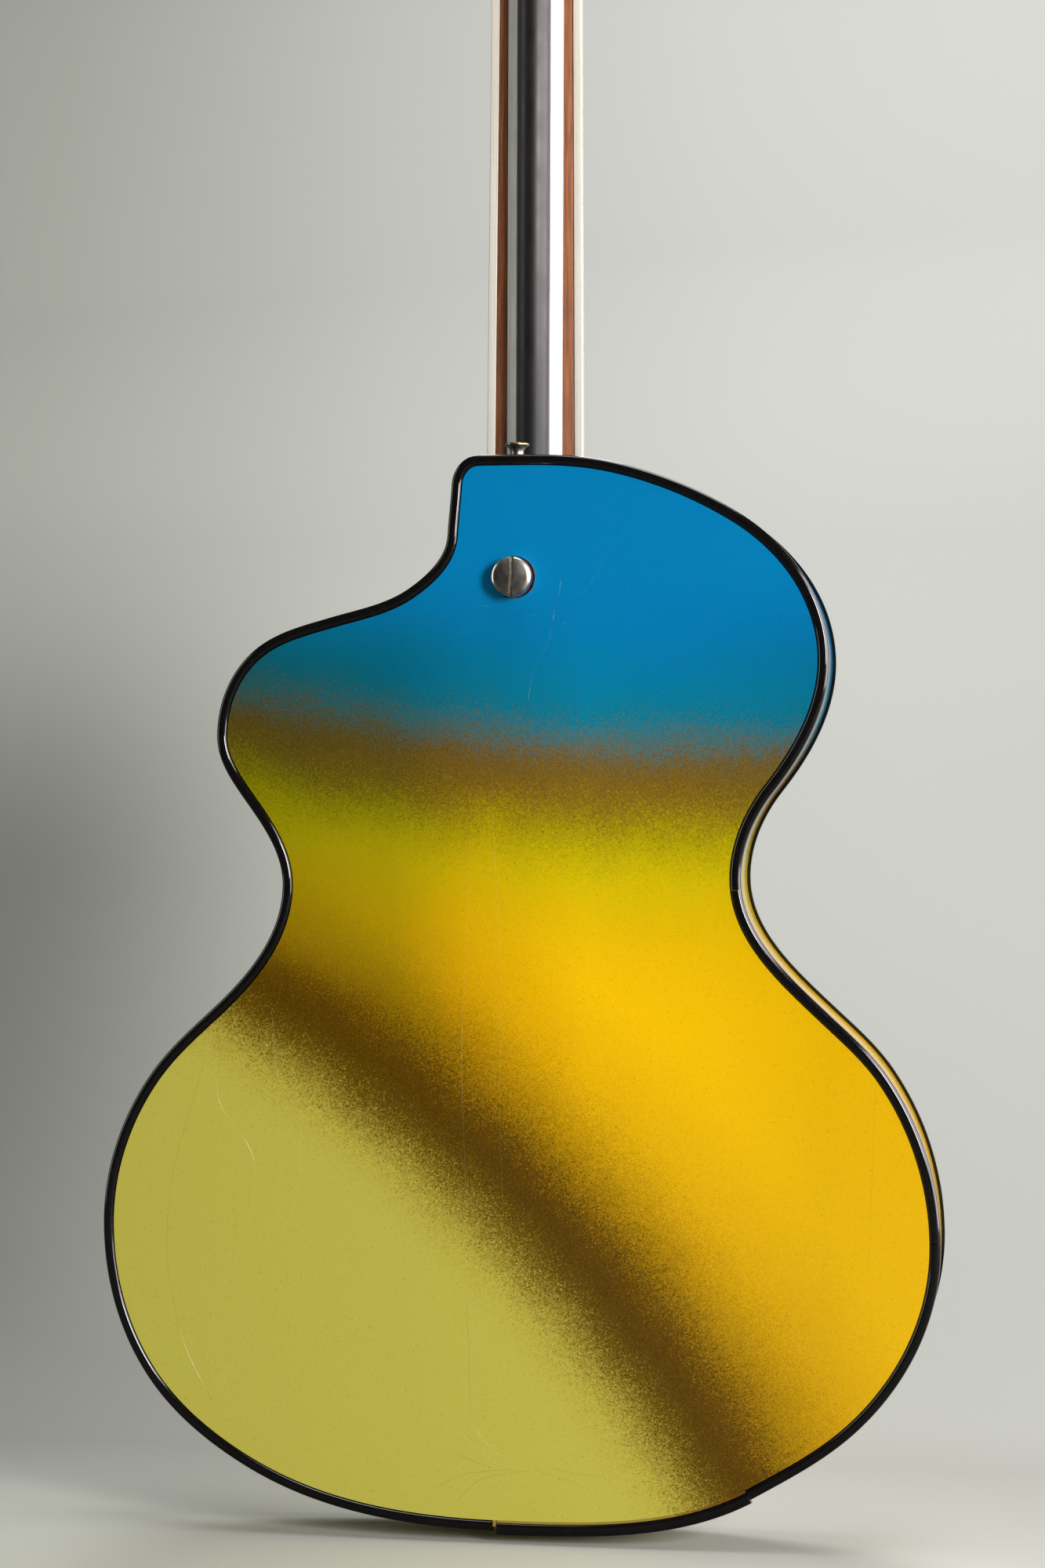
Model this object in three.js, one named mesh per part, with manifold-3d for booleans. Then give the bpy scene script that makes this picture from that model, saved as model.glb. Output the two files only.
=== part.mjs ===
// Semi-hollow electric guitar with an aluminium neck, as an assembly of separate pieces.
// Lengths are in millimetres. The origin is the nut line on the centreline, in the plane of the
// fingerboard's underside. +X is the treble side with the cutaway, -Y the string side, +Y the back,
// and +Z runs up the neck. Pieces of the body are drawn from the body's own corner: y from the
// outer face of the front plate, z from the upper edge of the body.

import * as THREE from 'three';
import { mergeVertices } from 'three/addons/utils/BufferGeometryUtils.js';
import Module from 'manifold-3d';

const wasm = await Module();
wasm.setup();

// Driving dimensions
const scaleLength = 640;
const bodyLength = 513.5;
const bodyHalfWidth = 202;
const bodyDepth = 54;
const boardLift = 10;
const gap = 0.3;
const overrun = 2;

// Counts and angles
const semitones = 12;
const jointFret = 14;
const fretCount = 21;
const roundSides = 16;
const smallSides = 10;
const wireSides = 6;
const cornerSteps = 4;
const degree = Math.PI / 180;
const headTilt = 8 * degree;

// Plates, rim and edge strips
const plateThickness = 4;
const rimThickness = 6;
const stripWidth = 5;
const stripProud = 0.8;
const stripOverhang = 1.5;
const tailStripLowering = 1.6;
const outlineStep = 14;
const outlineTurn = 15 * degree;

// Centre block and neck pocket
const blockWidth = 96;
const pocketClearance = 1.5;
const pocketEndClearance = 2;
const pocketFloorClearance = 2.5;

// Neck channel, its back cover and the heel
const channelWidth = 28;
const channelShoulderWidth = 27.2;
const channelBackWidth = 17;
const channelShoulder = 1.2;
const channelDepth = 6.5;
const coverWidth = 16;
const coverHeight = 8.2;
const heelWidth = 24;
const heelStart = 12;
const heelEndSetback = 7.8;
const heelBackRoom = 16;

// Fingerboard, bindings, frets and nut
const boardThickness = 6;
const boardNutWidth = 43.3;
const boardJointWidth = 48.2;
const boardOverhang = 5;
const bindingWidth = 4.2;
const fretRadius = 1.4;
const nutThickness = 5;
const nutHeight = 8.6;
const nutAction = 0.2;

// Headstock
const headLength = 168;
const headHalfWidth = 40;
const headThickness = 14;
const veneerThickness = 2;
const headRound = 1.5;

// Tuners
const firstPost = 42;
const postSpacing = 41;
const postAcross = 20;
const postRadius = 3;
const postReach = 12;
const gearRadius = 5;
const gearTeeth = 14;
const gearThickness = 3;
const toothDepth = 1;
const wormRadius = 2;
const wormLength = 8;
const shaftRadius = 1.5;
const tunerPlateWidth = 13;
const tunerPlateThickness = 1.2;
const tunerPlateMargin = 11;
const lugThickness = 2;
const lugHeight = 5;
const lugLength = 5;
const buttonLength = 16;
const buttonWidth = 12;
const buttonThickness = 7;
const buttonClearance = 4;

// Strings, from the thinnest on the treble side
const firstStringRadius = 0.13;
const secondStringRadius = 0.17;
const thirdStringRadius = 0.22;
const fourthStringRadius = 0.33;
const fifthStringRadius = 0.46;
const sixthStringRadius = 0.58;
const nutSpread = 35;
const bridgeSpread = 52;
const bridgeStringHeight = 11.2;
const windingTurns = 3;
const ballRadius = 2;

// Bridge
const bridgeBaseLength = 124;
const bridgeBaseWidth = 14;
const bridgeBaseHeight = 8.5;
const bridgeArch = 3;
const bridgeFootLength = 44;
const saddleLength = 88;
const saddleWidth = 8;
const saddleCrown = 1.6;
const bridgeStudAcross = 38;
const bridgeStudRadius = 2;
const bridgeStudReach = 5;
const thumbwheelRadius = 7.5;
const thumbwheelThickness = 2.4;
const thumbwheelTravel = 1.2;

// Tailpiece
const tailpieceSetback = 46;
const tailpieceLength = 96;
const tailpieceWidth = 13;
const tailpieceThickness = 9;
const tailpieceStandoff = 6;
const tailpieceRound = 2.5;
const tailStudAcross = 41;
const tailStudRadius = 3;
const tailStudHeadRadius = 5;
const tailStudHeadHeight = 2.5;
const tailStudReach = 22;
const stringHoleRadius = 1.3;

// Pickups and their rings
const ringLength = 90;
const ringWidth = 42;
const ringHeight = 9;
const ringRound = 1;
const ringCorner = 4;
const pickupLength = 70;
const pickupWidth = 33;
const pickupRise = 17;
const pickupSink = 9;
const pickupCorner = 3;
const pickupRound = 1.2;
const pickupClearance = 0.5;
const neckPickupSetback = 26;
const bridgePickupSetback = 31;

// Knobs and pots
const knobRadius = 13;
const knobTopRadius = 11;
const knobHeight = 15;
const knobLift = 0.9;
const knobSkirt = 3;
const knobBore = 7.5;
const knobBoreDepth = 5;
const potRadius = 12;
const potDepth = 10;
const potBushRadius = 4.7;
const potBushReach = 4;
const potShaftRadius = 3;
const potShaftReach = 12;
const volumeFromSide = 80;
const volumeFromTail = 175.5;
const toneFromSide = 64;
const toneFromTail = 125.5;

// Selector switch
const selectorAcross = 88;
const selectorDown = 92;
const selectorBodyLength = 34;
const selectorBodyWidth = 14;
const selectorBodyDepth = 24;
const selectorBushRadius = 6;
const selectorBushReach = 3;
const selectorWellRadius = 4;
const selectorPivotDepth = 2;
const leverTail = 3;
const leverReach = 16;
const leverRadius = 1.5;
const leverTipRadius = 4;
const leverBallRadius = selectorWellRadius - gap;

// Jack socket
const jackFromSide = 90;
const jackFromTail = 67.5;
const jackFlangeRadius = 9;
const jackFlangeHeight = 3;
const jackNeckRadius = 5.2;
const jackBodyRadius = 7;
const jackBodyDepth = 32;
const jackBoreRadius = 3.4;
const jackBoreDepth = 27;

// Tilt screw, its bush and the pivot pin
const screwDown = 58.5;
const screwHeadRadius = 9.6;
const screwStand = 8;
const screwRadius = 4;
const screwTipGap = 0.55;
const screwSlotWidth = 2;
const screwSlotDepth = 2.2;
const screwSlotLean = 2.5 * degree;
const screwHoleClearance = 0.6;
const screwHoleOffset = 0.2;
const bushRadius = 7;
const bushLength = 8;
const pivotDown = 20;
const pivotDepth = 14;
const pivotRadius = 3;
const pivotHalfLength = 17.5;

// Strap button and end pin
const buttonSetback = 10;
const strapFlangeRadius = 5.9;
const strapWaistRadius = 3.3;
const strapFlangeThickness = 1.8;
const strapHeight = 7.8;
const strapScrewRadius = 2;
const strapScrewReach = 16;
const endPinRadius = 4.5;
const endPinHeight = 7;

// Sound holes
const soundHoleLength = 128;
const soundHoleHalfWidth = 5;
const soundHoleEyeRadius = 7;
const soundHoleAcrossShare = 0.406;
const soundHoleDown = 268;

// Places along the neck and on the body
const fretDistance = fret => scaleLength * (1 - 2 ** (-fret / semitones));
const bodyTop = -fretDistance(jointFret);
const boardEnd = fretDistance(fretCount) + boardOverhang;
const bodyDownOf = distance => distance + bodyTop;
const bridgeDown = bodyDownOf(scaleLength);
const boardEndDown = bodyDownOf(boardEnd);
const neckPickupDown = boardEndDown + neckPickupSetback;
const bridgePickupDown = bridgeDown - bridgePickupSetback;
const heelEnd = boardEndDown - heelEndSetback;
const heelDepth = bodyDepth - heelBackRoom;
const pocketStart = heelStart - pocketClearance;
const pocketEnd = heelEnd + pocketEndClearance;
const pocketDepth = heelDepth + pocketFloorClearance;
const volumeAcross = bodyHalfWidth - volumeFromSide;
const volumeDown = bodyLength - volumeFromTail;
const toneAcross = bodyHalfWidth - toneFromSide;
const toneDown = bodyLength - toneFromTail;
const jackAcross = bodyHalfWidth - jackFromSide;
const jackDown = bodyLength - jackFromTail;
const soundHoleAcross = bodyHalfWidth * soundHoleAcrossShare;
const rimFront = plateThickness + gap;
const rimBack = bodyDepth - plateThickness - gap;
const rimOuterInset = stripOverhang;
const rimInnerInset = stripOverhang + rimThickness;
const plateInset = stripWidth + gap;

// The outline seen from the back, clockwise from the tip of the cutaway: share of the half width
// to the right, share of the length, and heading in degrees.
const outlineShares = [
  [-0.084, 0, 0],
  [0.059, 0, -1],
  [0.237, -0.0076, -13],
  [0.524, -0.0536, -31],
  [0.7436, -0.1916, -90],
  [0.6163, -0.312, -128],
  [0.5396, -0.3922, -90],
  [0.739, -0.5133, -43],
  [0.882, -0.5714, -55],
  [1.007, -0.728, -90],
  [0.8085, -0.8988, -137],
  [0.5787, -0.96, -150],
  [0, -1, -180],
  [-0.6475, -0.9466, 150],
  [-0.871, -0.8729, 127],
  [-0.994, -0.7205, 90],
  [-0.879, -0.581, 55],
  [-0.731, -0.52, 42.5],
  [-0.556, -0.401, 90],
  [-0.6406, -0.3264, 126],
  [-0.718, -0.2617, 90],
  [-0.627, -0.181, 40],
  [-0.44, -0.1503, 16],
  [-0.25, -0.1233, 35],
  [-0.159, -0.074, 87],
  [-0.1495, -0.0273, 87],
];

// Where the back edge strips meet, in the same shares.
const seamShares = [
  [-0.033, -1],
  [0.54, -0.4],
  [0.99, -0.724],
  [0.57, -0.962],
];

// One side of the headstock, from the nut up: shares of the half width and of the length.
const headShares = [
  [0.54, 0],
  [0.58, 0.1],
  [0.8, 0.2],
  [0.84, 0.3],
  [0.88, 0.6],
  [1, 0.88],
  [0.9, 0.95],
  [0.45, 0.97],
  [0, 1],
];

// Centreline of a sound hole: shares of its length across and up.
const soundHoleShares = [
  [0.09, 0.5],
  [-0.03, 0.36],
  [0.02, 0],
  [0.03, -0.36],
  [-0.09, -0.5],
];

// A solid from a closed geometry, with its faces pointing out.
function solid(geometry) {
  geometry.deleteAttribute('normal');
  geometry.deleteAttribute('uv');
  const merged = mergeVertices(geometry);
  const points = merged.attributes.position.array;
  const corners = [];
  let volume = 0;
  const corner = [new THREE.Vector3(), new THREE.Vector3(), new THREE.Vector3()];
  for (let i = 0; i < merged.index.count; i += 3) {
    const [a, b, c] = merged.index.array.slice(i, i + 3);
    if (a === b || b === c || c === a) continue;
    corners.push(a, b, c);
    corner[0].fromArray(points, a * 3);
    corner[1].fromArray(points, b * 3);
    corner[2].fromArray(points, c * 3);
    volume += corner[0].dot(corner[1].cross(corner[2]));
  }
  if (volume < 0) corners.reverse();
  const triVerts = new Uint32Array(corners);
  return new wasm.Manifold(new wasm.Mesh({ numProp: 3, vertProperties: points, triVerts }));
}

// The geometry of a finished solid.
function geometryOf(body) {
  const mesh = body.getMesh();
  const geometry = new THREE.BufferGeometry();
  geometry.setAttribute('position', new THREE.BufferAttribute(mesh.vertProperties, mesh.numProp));
  geometry.setIndex(new THREE.BufferAttribute(mesh.triVerts, 1));
  geometry.computeVertexNormals();
  return geometry;
}

const join = bodies => bodies.reduce((whole, body) => whole.add(body));
const cut = (body, cutters) => cutters.reduce((rest, cutter) => rest.subtract(cutter), body);
const point = (x, y, z) => new THREE.Vector3(x, y, z);

// A block between two corners.
function blockGeometry(low, high) {
  const size = high.clone().sub(low);
  const geometry = new THREE.BoxGeometry(size.x, size.y, size.z);
  geometry.translate(...low.clone().add(high).divideScalar(2).toArray());
  return geometry;
}

const block = (low, high) => solid(blockGeometry(low, high));

// A round rod from start to end, which may taper.
function rod(start, end, radius, sides = roundSides, endRadius = radius) {
  const along = end.clone().sub(start);
  const geometry = new THREE.CylinderGeometry(endRadius, radius, along.length(), sides);
  const turn = new THREE.Quaternion();
  turn.setFromUnitVectors(new THREE.Vector3(0, 1, 0), along.clone().normalize());
  geometry.applyQuaternion(turn);
  geometry.translate(...start.clone().add(end).divideScalar(2).toArray());
  return solid(geometry);
}

// A rod that runs from front to back.
const peg = (x, z, front, back, radius, sides = roundSides, backRadius = radius) =>
  rod(point(x, front, z), point(x, back, z), radius, sides, backRadius);

// A shape drawn across and up, thick from front to back.
function slab(shape, front, back, round = 0) {
  const geometry = new THREE.ExtrudeGeometry(shape, {
    depth: back - front - round - round,
    bevelEnabled: round > 0,
    bevelSize: round,
    bevelThickness: round,
    bevelOffset: -round,
    bevelSegments: 1,
    curveSegments: cornerSteps,
  });
  geometry.rotateX(Math.PI / 2);
  geometry.translate(0, back - round, 0);
  return solid(geometry);
}

// A shape drawn across and front to back, long from bottom to top.
function beam(shape, bottom, top) {
  const geometry = new THREE.ExtrudeGeometry(shape, {
    depth: top - bottom,
    bevelEnabled: false,
    curveSegments: smallSides,
  });
  geometry.translate(0, 0, bottom);
  return solid(geometry);
}

// A piece turned on a lathe from pairs of radius and height, with its axis along +Z.
function turned(profile, sides = roundSides) {
  const points = profile.map(pair => new THREE.Vector2(...pair));
  const geometry = new THREE.LatheGeometry(points, sides);
  geometry.rotateX(Math.PI / 2);
  return geometry;
}

const shapeOf = pairs => new THREE.Shape(pairs.map(pair => new THREE.Vector2(...pair)));

// A rectangle with round corners, centred on a place.
function roundedRectangle(x, z, width, height, corner) {
  const left = x - width / 2;
  const right = x + width / 2;
  const bottom = z - height / 2;
  const top = z + height / 2;
  const shape = new THREE.Shape();
  shape.moveTo(left + corner, bottom);
  shape.lineTo(right - corner, bottom);
  shape.quadraticCurveTo(right, bottom, right, bottom + corner);
  shape.lineTo(right, top - corner);
  shape.quadraticCurveTo(right, top, right - corner, top);
  shape.lineTo(left + corner, top);
  shape.quadraticCurveTo(left, top, left, top - corner);
  shape.lineTo(left, bottom + corner);
  shape.quadraticCurveTo(left, bottom, left + corner, bottom);
  return shape;
}

// Materials
function finish(name, color, roughness, metalness) {
  return new THREE.MeshStandardMaterial({ name, color, roughness, metalness });
}

const paint = () => finish('sprayed lacquer', '#d8b312', 0.3, 0);
const blackPlastic = () => finish('black plastic', '#14110f', 0.25, 0);
const ivoryPlastic = () => finish('ivory plastic', '#efe7d4', 0.4, 0);
const aluminium = () => finish('drawn aluminium', '#bdb9b0', 0.4, 1);
const nickel = () => finish('nickel plate', '#c9c5bb', 0.25, 1);
const brass = () => finish('aged brass', '#8d6f38', 0.4, 1);
const steel = () => finish('steel', '#b4b4b2', 0.35, 1);
const copper = () => finish('copper', '#7a4427', 0.5, 1);
const rosewood = () => finish('rosewood', '#7c4a26', 0.6, 0);
const maple = () => finish('bare maple', '#c9a26b', 0.6, 0);

// Assembly groups
const guitar = new THREE.Group();
const neck = new THREE.Group();
const body = new THREE.Group();
const head = new THREE.Group();
body.position.set(0, boardLift, bodyTop);
head.position.set(0, veneerThickness + gap, nutThickness + gap);
head.rotation.x = -headTilt;
neck.add(head);
guitar.add(neck, body);

function place(group, name, shape, material, x = 0, y = 0, z = 0) {
  const mesh = new THREE.Mesh(geometryOf(shape), material);
  mesh.name = name;
  mesh.position.set(x, y, z);
  group.add(mesh);
  return mesh;
}

// The outline as points with the direction out of the body
const planePoint = ([across, down]) => new THREE.Vector2(-across * bodyHalfWidth, down * bodyLength);

function headingOf(knot) {
  const angle = knot[2] * degree;
  return new THREE.Vector2(-Math.cos(angle), Math.sin(angle));
}

function outlineCurve(knot, next) {
  const start = planePoint(knot);
  const end = planePoint(next);
  const turn = headingOf(knot).angleTo(headingOf(next));
  const chord = start.distanceTo(end);
  const arc = turn > 0 ? (Math.tan(turn / 4) * 2) / (3 * Math.sin(turn / 2)) : 1 / 3;
  const leave = start.clone().addScaledVector(headingOf(knot), chord * arc);
  const arrive = end.clone().addScaledVector(headingOf(next), -chord * arc);
  return new THREE.CubicBezierCurve(start, leave, arrive, end);
}

const outline = outlineShares.flatMap((knot, i) => {
  const next = outlineShares[(i + 1) % outlineShares.length];
  const curve = outlineCurve(knot, next);
  const turn = headingOf(knot).angleTo(headingOf(next));
  const steps = Math.ceil(Math.max(curve.getLength() / outlineStep, turn / outlineTurn));
  return Array.from({ length: steps }, (_, step) => {
    const along = curve.getTangent(step / steps);
    return { at: curve.getPoint(step / steps), along, out: new THREE.Vector2(along.y, -along.x) };
  });
});

const inset = ({ at, out }, distance) => at.clone().addScaledVector(out, -distance);
const outlineShape = distance => new THREE.Shape(outline.map(spot => inset(spot, distance)));

function ringShape(outer, inner) {
  const ring = outlineShape(outer);
  ring.holes.push(outlineShape(inner));
  return ring;
}

// The stretch of the outline from one seam to the next, drawn back by half a gap at both ends
function stretch(from, to) {
  const nearest = share => {
    const place = planePoint(share);
    const distances = outline.map(spot => spot.at.distanceTo(place));
    return distances.indexOf(Math.min(...distances));
  };
  const first = nearest(from);
  const count = (nearest(to) - first + outline.length) % outline.length;
  return Array.from({ length: count + 1 }, (_, i) => {
    const spot = outline[(first + i) % outline.length];
    const nudge = i === 0 ? gap / 2 : i === count ? -gap / 2 : 0;
    return { ...spot, at: spot.at.clone().addScaledVector(spot.along, nudge) };
  });
}

function stripShape(spots, outer, inner) {
  const out = spots.map(spot => inset(spot, outer));
  const back = spots.map(spot => inset(spot, inner)).reverse();
  return new THREE.Shape([...out, ...back]);
}

// Holes for the parts that pass through the front plate
const controls = [
  [volumeAcross, -volumeDown, potBushRadius],
  [toneAcross, -toneDown, potBushRadius],
  [-selectorAcross, -selectorDown, selectorBushRadius],
  [jackAcross, -jackDown, jackNeckRadius],
];

// A hole round a turned piece keeps the gap at the flats of its facets
const boreFor = (radius, sides = roundSides) => (radius + gap) / Math.cos(Math.PI / sides);
const bore = (x, z, front, back, radius, sides = smallSides) =>
  peg(x, z, front, back, boreFor(radius, sides), sides);

const windowLength = pickupLength + pickupClearance * 2;
const windowWidth = pickupWidth + pickupClearance * 2;
const pickupWindow = down => roundedRectangle(0, -down, windowLength, windowWidth, pickupCorner);

const neckPocket = depth =>
  block(
    point(-heelWidth / 2 - pocketClearance, -overrun, -pocketEnd),
    point(heelWidth / 2 + pocketClearance, depth, -pocketStart),
  );

const tailStuds = [-tailStudAcross, tailStudAcross];
const tailpieceDown = bridgeDown + tailpieceSetback;

// A sound hole: a long slot that swells in the middle, with a round eye at each end
function soundHole(side) {
  const spine = new THREE.SplineCurve(
    soundHoleShares.map(([x, z]) =>
      new THREE.Vector2(
        side * (soundHoleAcross + x * soundHoleLength),
        z * soundHoleLength - soundHoleDown,
      )),
  );
  const left = [];
  const right = [];
  for (let i = 0; i <= smallSides; i += 1) {
    const t = i / smallSides;
    const along = spine.getTangent(t);
    const half = soundHoleHalfWidth * (1 + Math.sin(Math.PI * t)) / 2;
    const out = new THREE.Vector2(along.y, -along.x).multiplyScalar(half);
    left.push(spine.getPoint(t).add(out));
    right.unshift(spine.getPoint(t).sub(out));
  }
  const slot = slab(new THREE.Shape([...left, ...right]), -overrun, plateThickness + overrun);
  const eyes = [0, 1].map(t => {
    const eye = spine.getPoint(t);
    const shift = (t - 1 / 2) * soundHoleEyeRadius * side;
    return peg(eye.x + shift, eye.y, -overrun, plateThickness + overrun, soundHoleEyeRadius);
  });
  return join([slot, ...eyes]);
}

// Body shell
function makeShell() {
  const screwHole = peg(
    -screwHoleOffset, -screwDown - screwHoleOffset / 2,
    bodyDepth - plateThickness - overrun, bodyDepth + overrun, screwHeadRadius + screwHoleClearance,
  );
  const backPlate = slab(outlineShape(plateInset), bodyDepth - plateThickness, bodyDepth);
  place(body, 'back_plate', cut(backPlate, [screwHole]), paint());

  const through = [-overrun, plateThickness + overrun];
  const frontHoles = [
    neckPocket(plateThickness + overrun),
    slab(pickupWindow(neckPickupDown), ...through),
    slab(pickupWindow(bridgePickupDown), ...through),
    soundHole(-1),
    soundHole(1),
    ...controls.map(([x, z, radius]) => bore(x, z, ...through, radius, roundSides)),
    ...tailStuds.map(x => bore(x, -tailpieceDown, ...through, tailStudRadius)),
  ];
  place(body, 'front_plate', cut(slab(outlineShape(plateInset), 0, plateThickness), frontHoles), paint());

  const rim = slab(ringShape(rimOuterInset, rimInnerInset), rimFront, rimBack);
  const screwBore = boreFor(strapScrewRadius, smallSides);
  const heelHole = rod(
    point(0, bodyDepth - buttonSetback, -strapScrewReach - overrun),
    point(0, bodyDepth - buttonSetback, overrun), screwBore, smallSides,
  );
  const tailHole = rod(
    point(0, bodyDepth / 2, -bodyLength - overrun),
    point(0, bodyDepth / 2, strapScrewReach + overrun - bodyLength), screwBore, smallSides,
  );
  place(body, 'rim', cut(rim, [heelHole, tailHole]), paint());

  const blockShape = shapeOf([
    [-blockWidth / 2, -bodyLength],
    [blockWidth / 2, -bodyLength],
    [blockWidth / 2, 0],
    [-blockWidth / 2, 0],
  ]);
  const inside = slab(outlineShape(rimInnerInset + gap), rimFront, rimBack);
  const pickupPocketDepth = pickupSink + overrun;
  const pickupPockets = [neckPickupDown, bridgePickupDown].map(down =>
    slab(pickupWindow(down), 0, pickupPocketDepth));
  const studHoles = tailStuds.map(x =>
    bore(x, -tailpieceDown, 0, tailStudReach + overrun, tailStudRadius));
  const bushHole = bore(0, -screwDown, pocketDepth - overrun, bodyDepth, bushRadius, roundSides);
  const pinHole = rod(
    point(-pivotHalfLength - gap, pivotDepth, -pivotDown),
    point(bodyHalfWidth, pivotDepth, -pivotDown),
    boreFor(pivotRadius, smallSides), smallSides,
  );
  const centreBlock = cut(slab(blockShape, rimFront, rimBack).intersect(inside), [
    neckPocket(pocketDepth), ...pickupPockets, ...studHoles, bushHole, pinHole, heelHole, tailHole,
  ]);
  place(body, 'centre_block', centreBlock, maple());
}

// Black edge strips: four lengths round the back, one ring round the front
function makeEdgeStrips() {
  const back = [bodyDepth - plateThickness, bodyDepth + stripProud];
  const names = ['back_strip_main', 'back_strip_waist', 'back_strip_bout', 'back_strip_tail'];
  names.forEach((name, i) => {
    const spots = stretch(seamShares[i], seamShares[(i + 1) % seamShares.length]);
    const drop = name.endsWith('tail') ? tailStripLowering : 0;
    place(body, name, slab(stripShape(spots, -drop, stripWidth - drop / 2), ...back), blackPlastic());
  });
  const front = slab(ringShape(0, stripWidth), -stripProud, plateThickness);
  place(body, 'front_strip', front, blackPlastic());
}

// Neck: aluminium channel with its heel, plastic back cover, bound fingerboard and nut
const boardHalfWidth = distance =>
  (boardNutWidth + (boardJointWidth - boardNutWidth) * distance / fretDistance(jointFret)) / 2;

function makeNeck() {
  const section = shapeOf([
    [-channelWidth / 2, gap],
    [channelWidth / 2, gap],
    [channelShoulderWidth / 2, channelShoulder],
    [channelBackWidth / 2, channelDepth],
    [-channelBackWidth / 2, channelDepth],
    [-channelShoulderWidth / 2, channelShoulder],
  ]);
  const heel = block(
    point(-heelWidth / 2, channelDepth / 2, bodyTop - heelEnd),
    point(heelWidth / 2, boardLift + heelDepth, bodyTop - heelStart),
  );
  const pinHole = rod(
    point(-channelWidth, boardLift + pivotDepth, bodyTop - pivotDown),
    point(channelWidth, boardLift + pivotDepth, bodyTop - pivotDown),
    boreFor(pivotRadius, smallSides), smallSides,
  );
  const channel = cut(join([beam(section, -boardEnd, nutThickness), heel]), [pinHole]);
  place(neck, 'neck_channel', channel, aluminium());

  const coverShape = new THREE.Shape();
  coverShape.absellipse(0, 0, coverWidth / 2, coverHeight, 0, Math.PI);
  const cover = beam(coverShape, bodyTop + gap * 2, 0);
  place(neck, 'neck_back_cover', cover, blackPlastic(), 0, channelDepth + gap, 0);

  const coreHalfWidth = distance => boardHalfWidth(distance) - bindingWidth - gap;
  const boardShape = shapeOf([
    [-coreHalfWidth(0), 0],
    [-coreHalfWidth(boardEnd), -boardEnd],
    [coreHalfWidth(boardEnd), -boardEnd],
    [coreHalfWidth(0), 0],
  ]);
  const frets = Array.from({ length: fretCount }, (_, i) => {
    const distance = fretDistance(i + 1);
    const reach = coreHalfWidth(distance) - gap;
    return rod(
      point(-reach, gap - boardThickness, -distance),
      point(reach, gap - boardThickness, -distance), fretRadius, wireSides,
    );
  });
  place(neck, 'fingerboard', join([slab(boardShape, -boardThickness, 0), ...frets]), rosewood());

  [['bass', -1], ['treble', 1]].forEach(([name, side]) => {
    const bindingShape = shapeOf([
      [side * (boardHalfWidth(0) - bindingWidth), 0],
      [side * boardHalfWidth(0), 0],
      [side * boardHalfWidth(boardEnd), -boardEnd],
      [side * (boardHalfWidth(boardEnd) - bindingWidth), -boardEnd],
    ]);
    place(neck, `binding_${name}`, slab(bindingShape, -boardThickness, 0), ivoryPlastic());
  });

  const nutSlots = stringRadii.map((radius, i) => {
    const x = stringAcross(i, nutSpread);
    return block(
      point(x - radius - gap, -nutHeight - overrun, -overrun),
      point(x + radius + gap, -nutStringFloor + gap, nutThickness + overrun),
    );
  });
  const nut = block(
    point(-boardNutWidth / 2, -nutHeight, gap),
    point(boardNutWidth / 2, 0, nutThickness),
  );
  place(neck, 'nut', cut(nut, nutSlots), ivoryPlastic());
}

// Strings: the radius of each and where it crosses the nut and the bridge
const stringRadii = [
  firstStringRadius, secondStringRadius, thirdStringRadius,
  fourthStringRadius, fifthStringRadius, sixthStringRadius,
];
const stringCount = stringRadii.length;
const stringAcross = (i, spread) => spread * (1 / 2 - i / (stringCount - 1));
const nutStringFloor = boardThickness + fretRadius + nutAction;

// Headstock with three posts a side: the row and the side of each string's post
const postsPerSide = stringCount / 2;
const sideOf = i => (i < postsPerSide ? 1 : -1);
const rowOf = i => (i < postsPerSide ? i : stringCount - 1 - i);
const postX = i => sideOf(i) * postAcross;
const postZ = i => firstPost + postSpacing * rowOf(i);
const wormMiddle = headThickness + gap + tunerPlateThickness + gap + wormRadius;
const gearFront = wormMiddle - gearThickness / 2;
const wormOffset = gearRadius + wormRadius + gap;

function makeHeadstock() {
  const side = headShares.map(([x, z]) => [x * headHalfWidth, z * headLength]);
  const mirrored = side.slice(0, -1).map(([x, z]) => [-x, z]).reverse();
  const shape = shapeOf([...side, ...mirrored]);
  const tail = blockGeometry(
    point(-headHalfWidth, -headThickness - overrun, -headThickness),
    point(headHalfWidth, headThickness * 2, 0),
  );
  tail.rotateX(headTilt);
  const level = solid(tail);
  const holes = stringRadii.map((_, i) =>
    bore(postX(i), postZ(i), -headThickness, headThickness + overrun, postRadius));
  const core = cut(slab(shape, 0, headThickness, headRound), [level, ...holes]);
  place(head, 'headstock', core, blackPlastic());
  const veneer = cut(slab(shape, -veneerThickness - gap, -gap), [level, ...holes]);
  place(head, 'headstock_veneer', veneer, ivoryPlastic());
}

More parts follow.
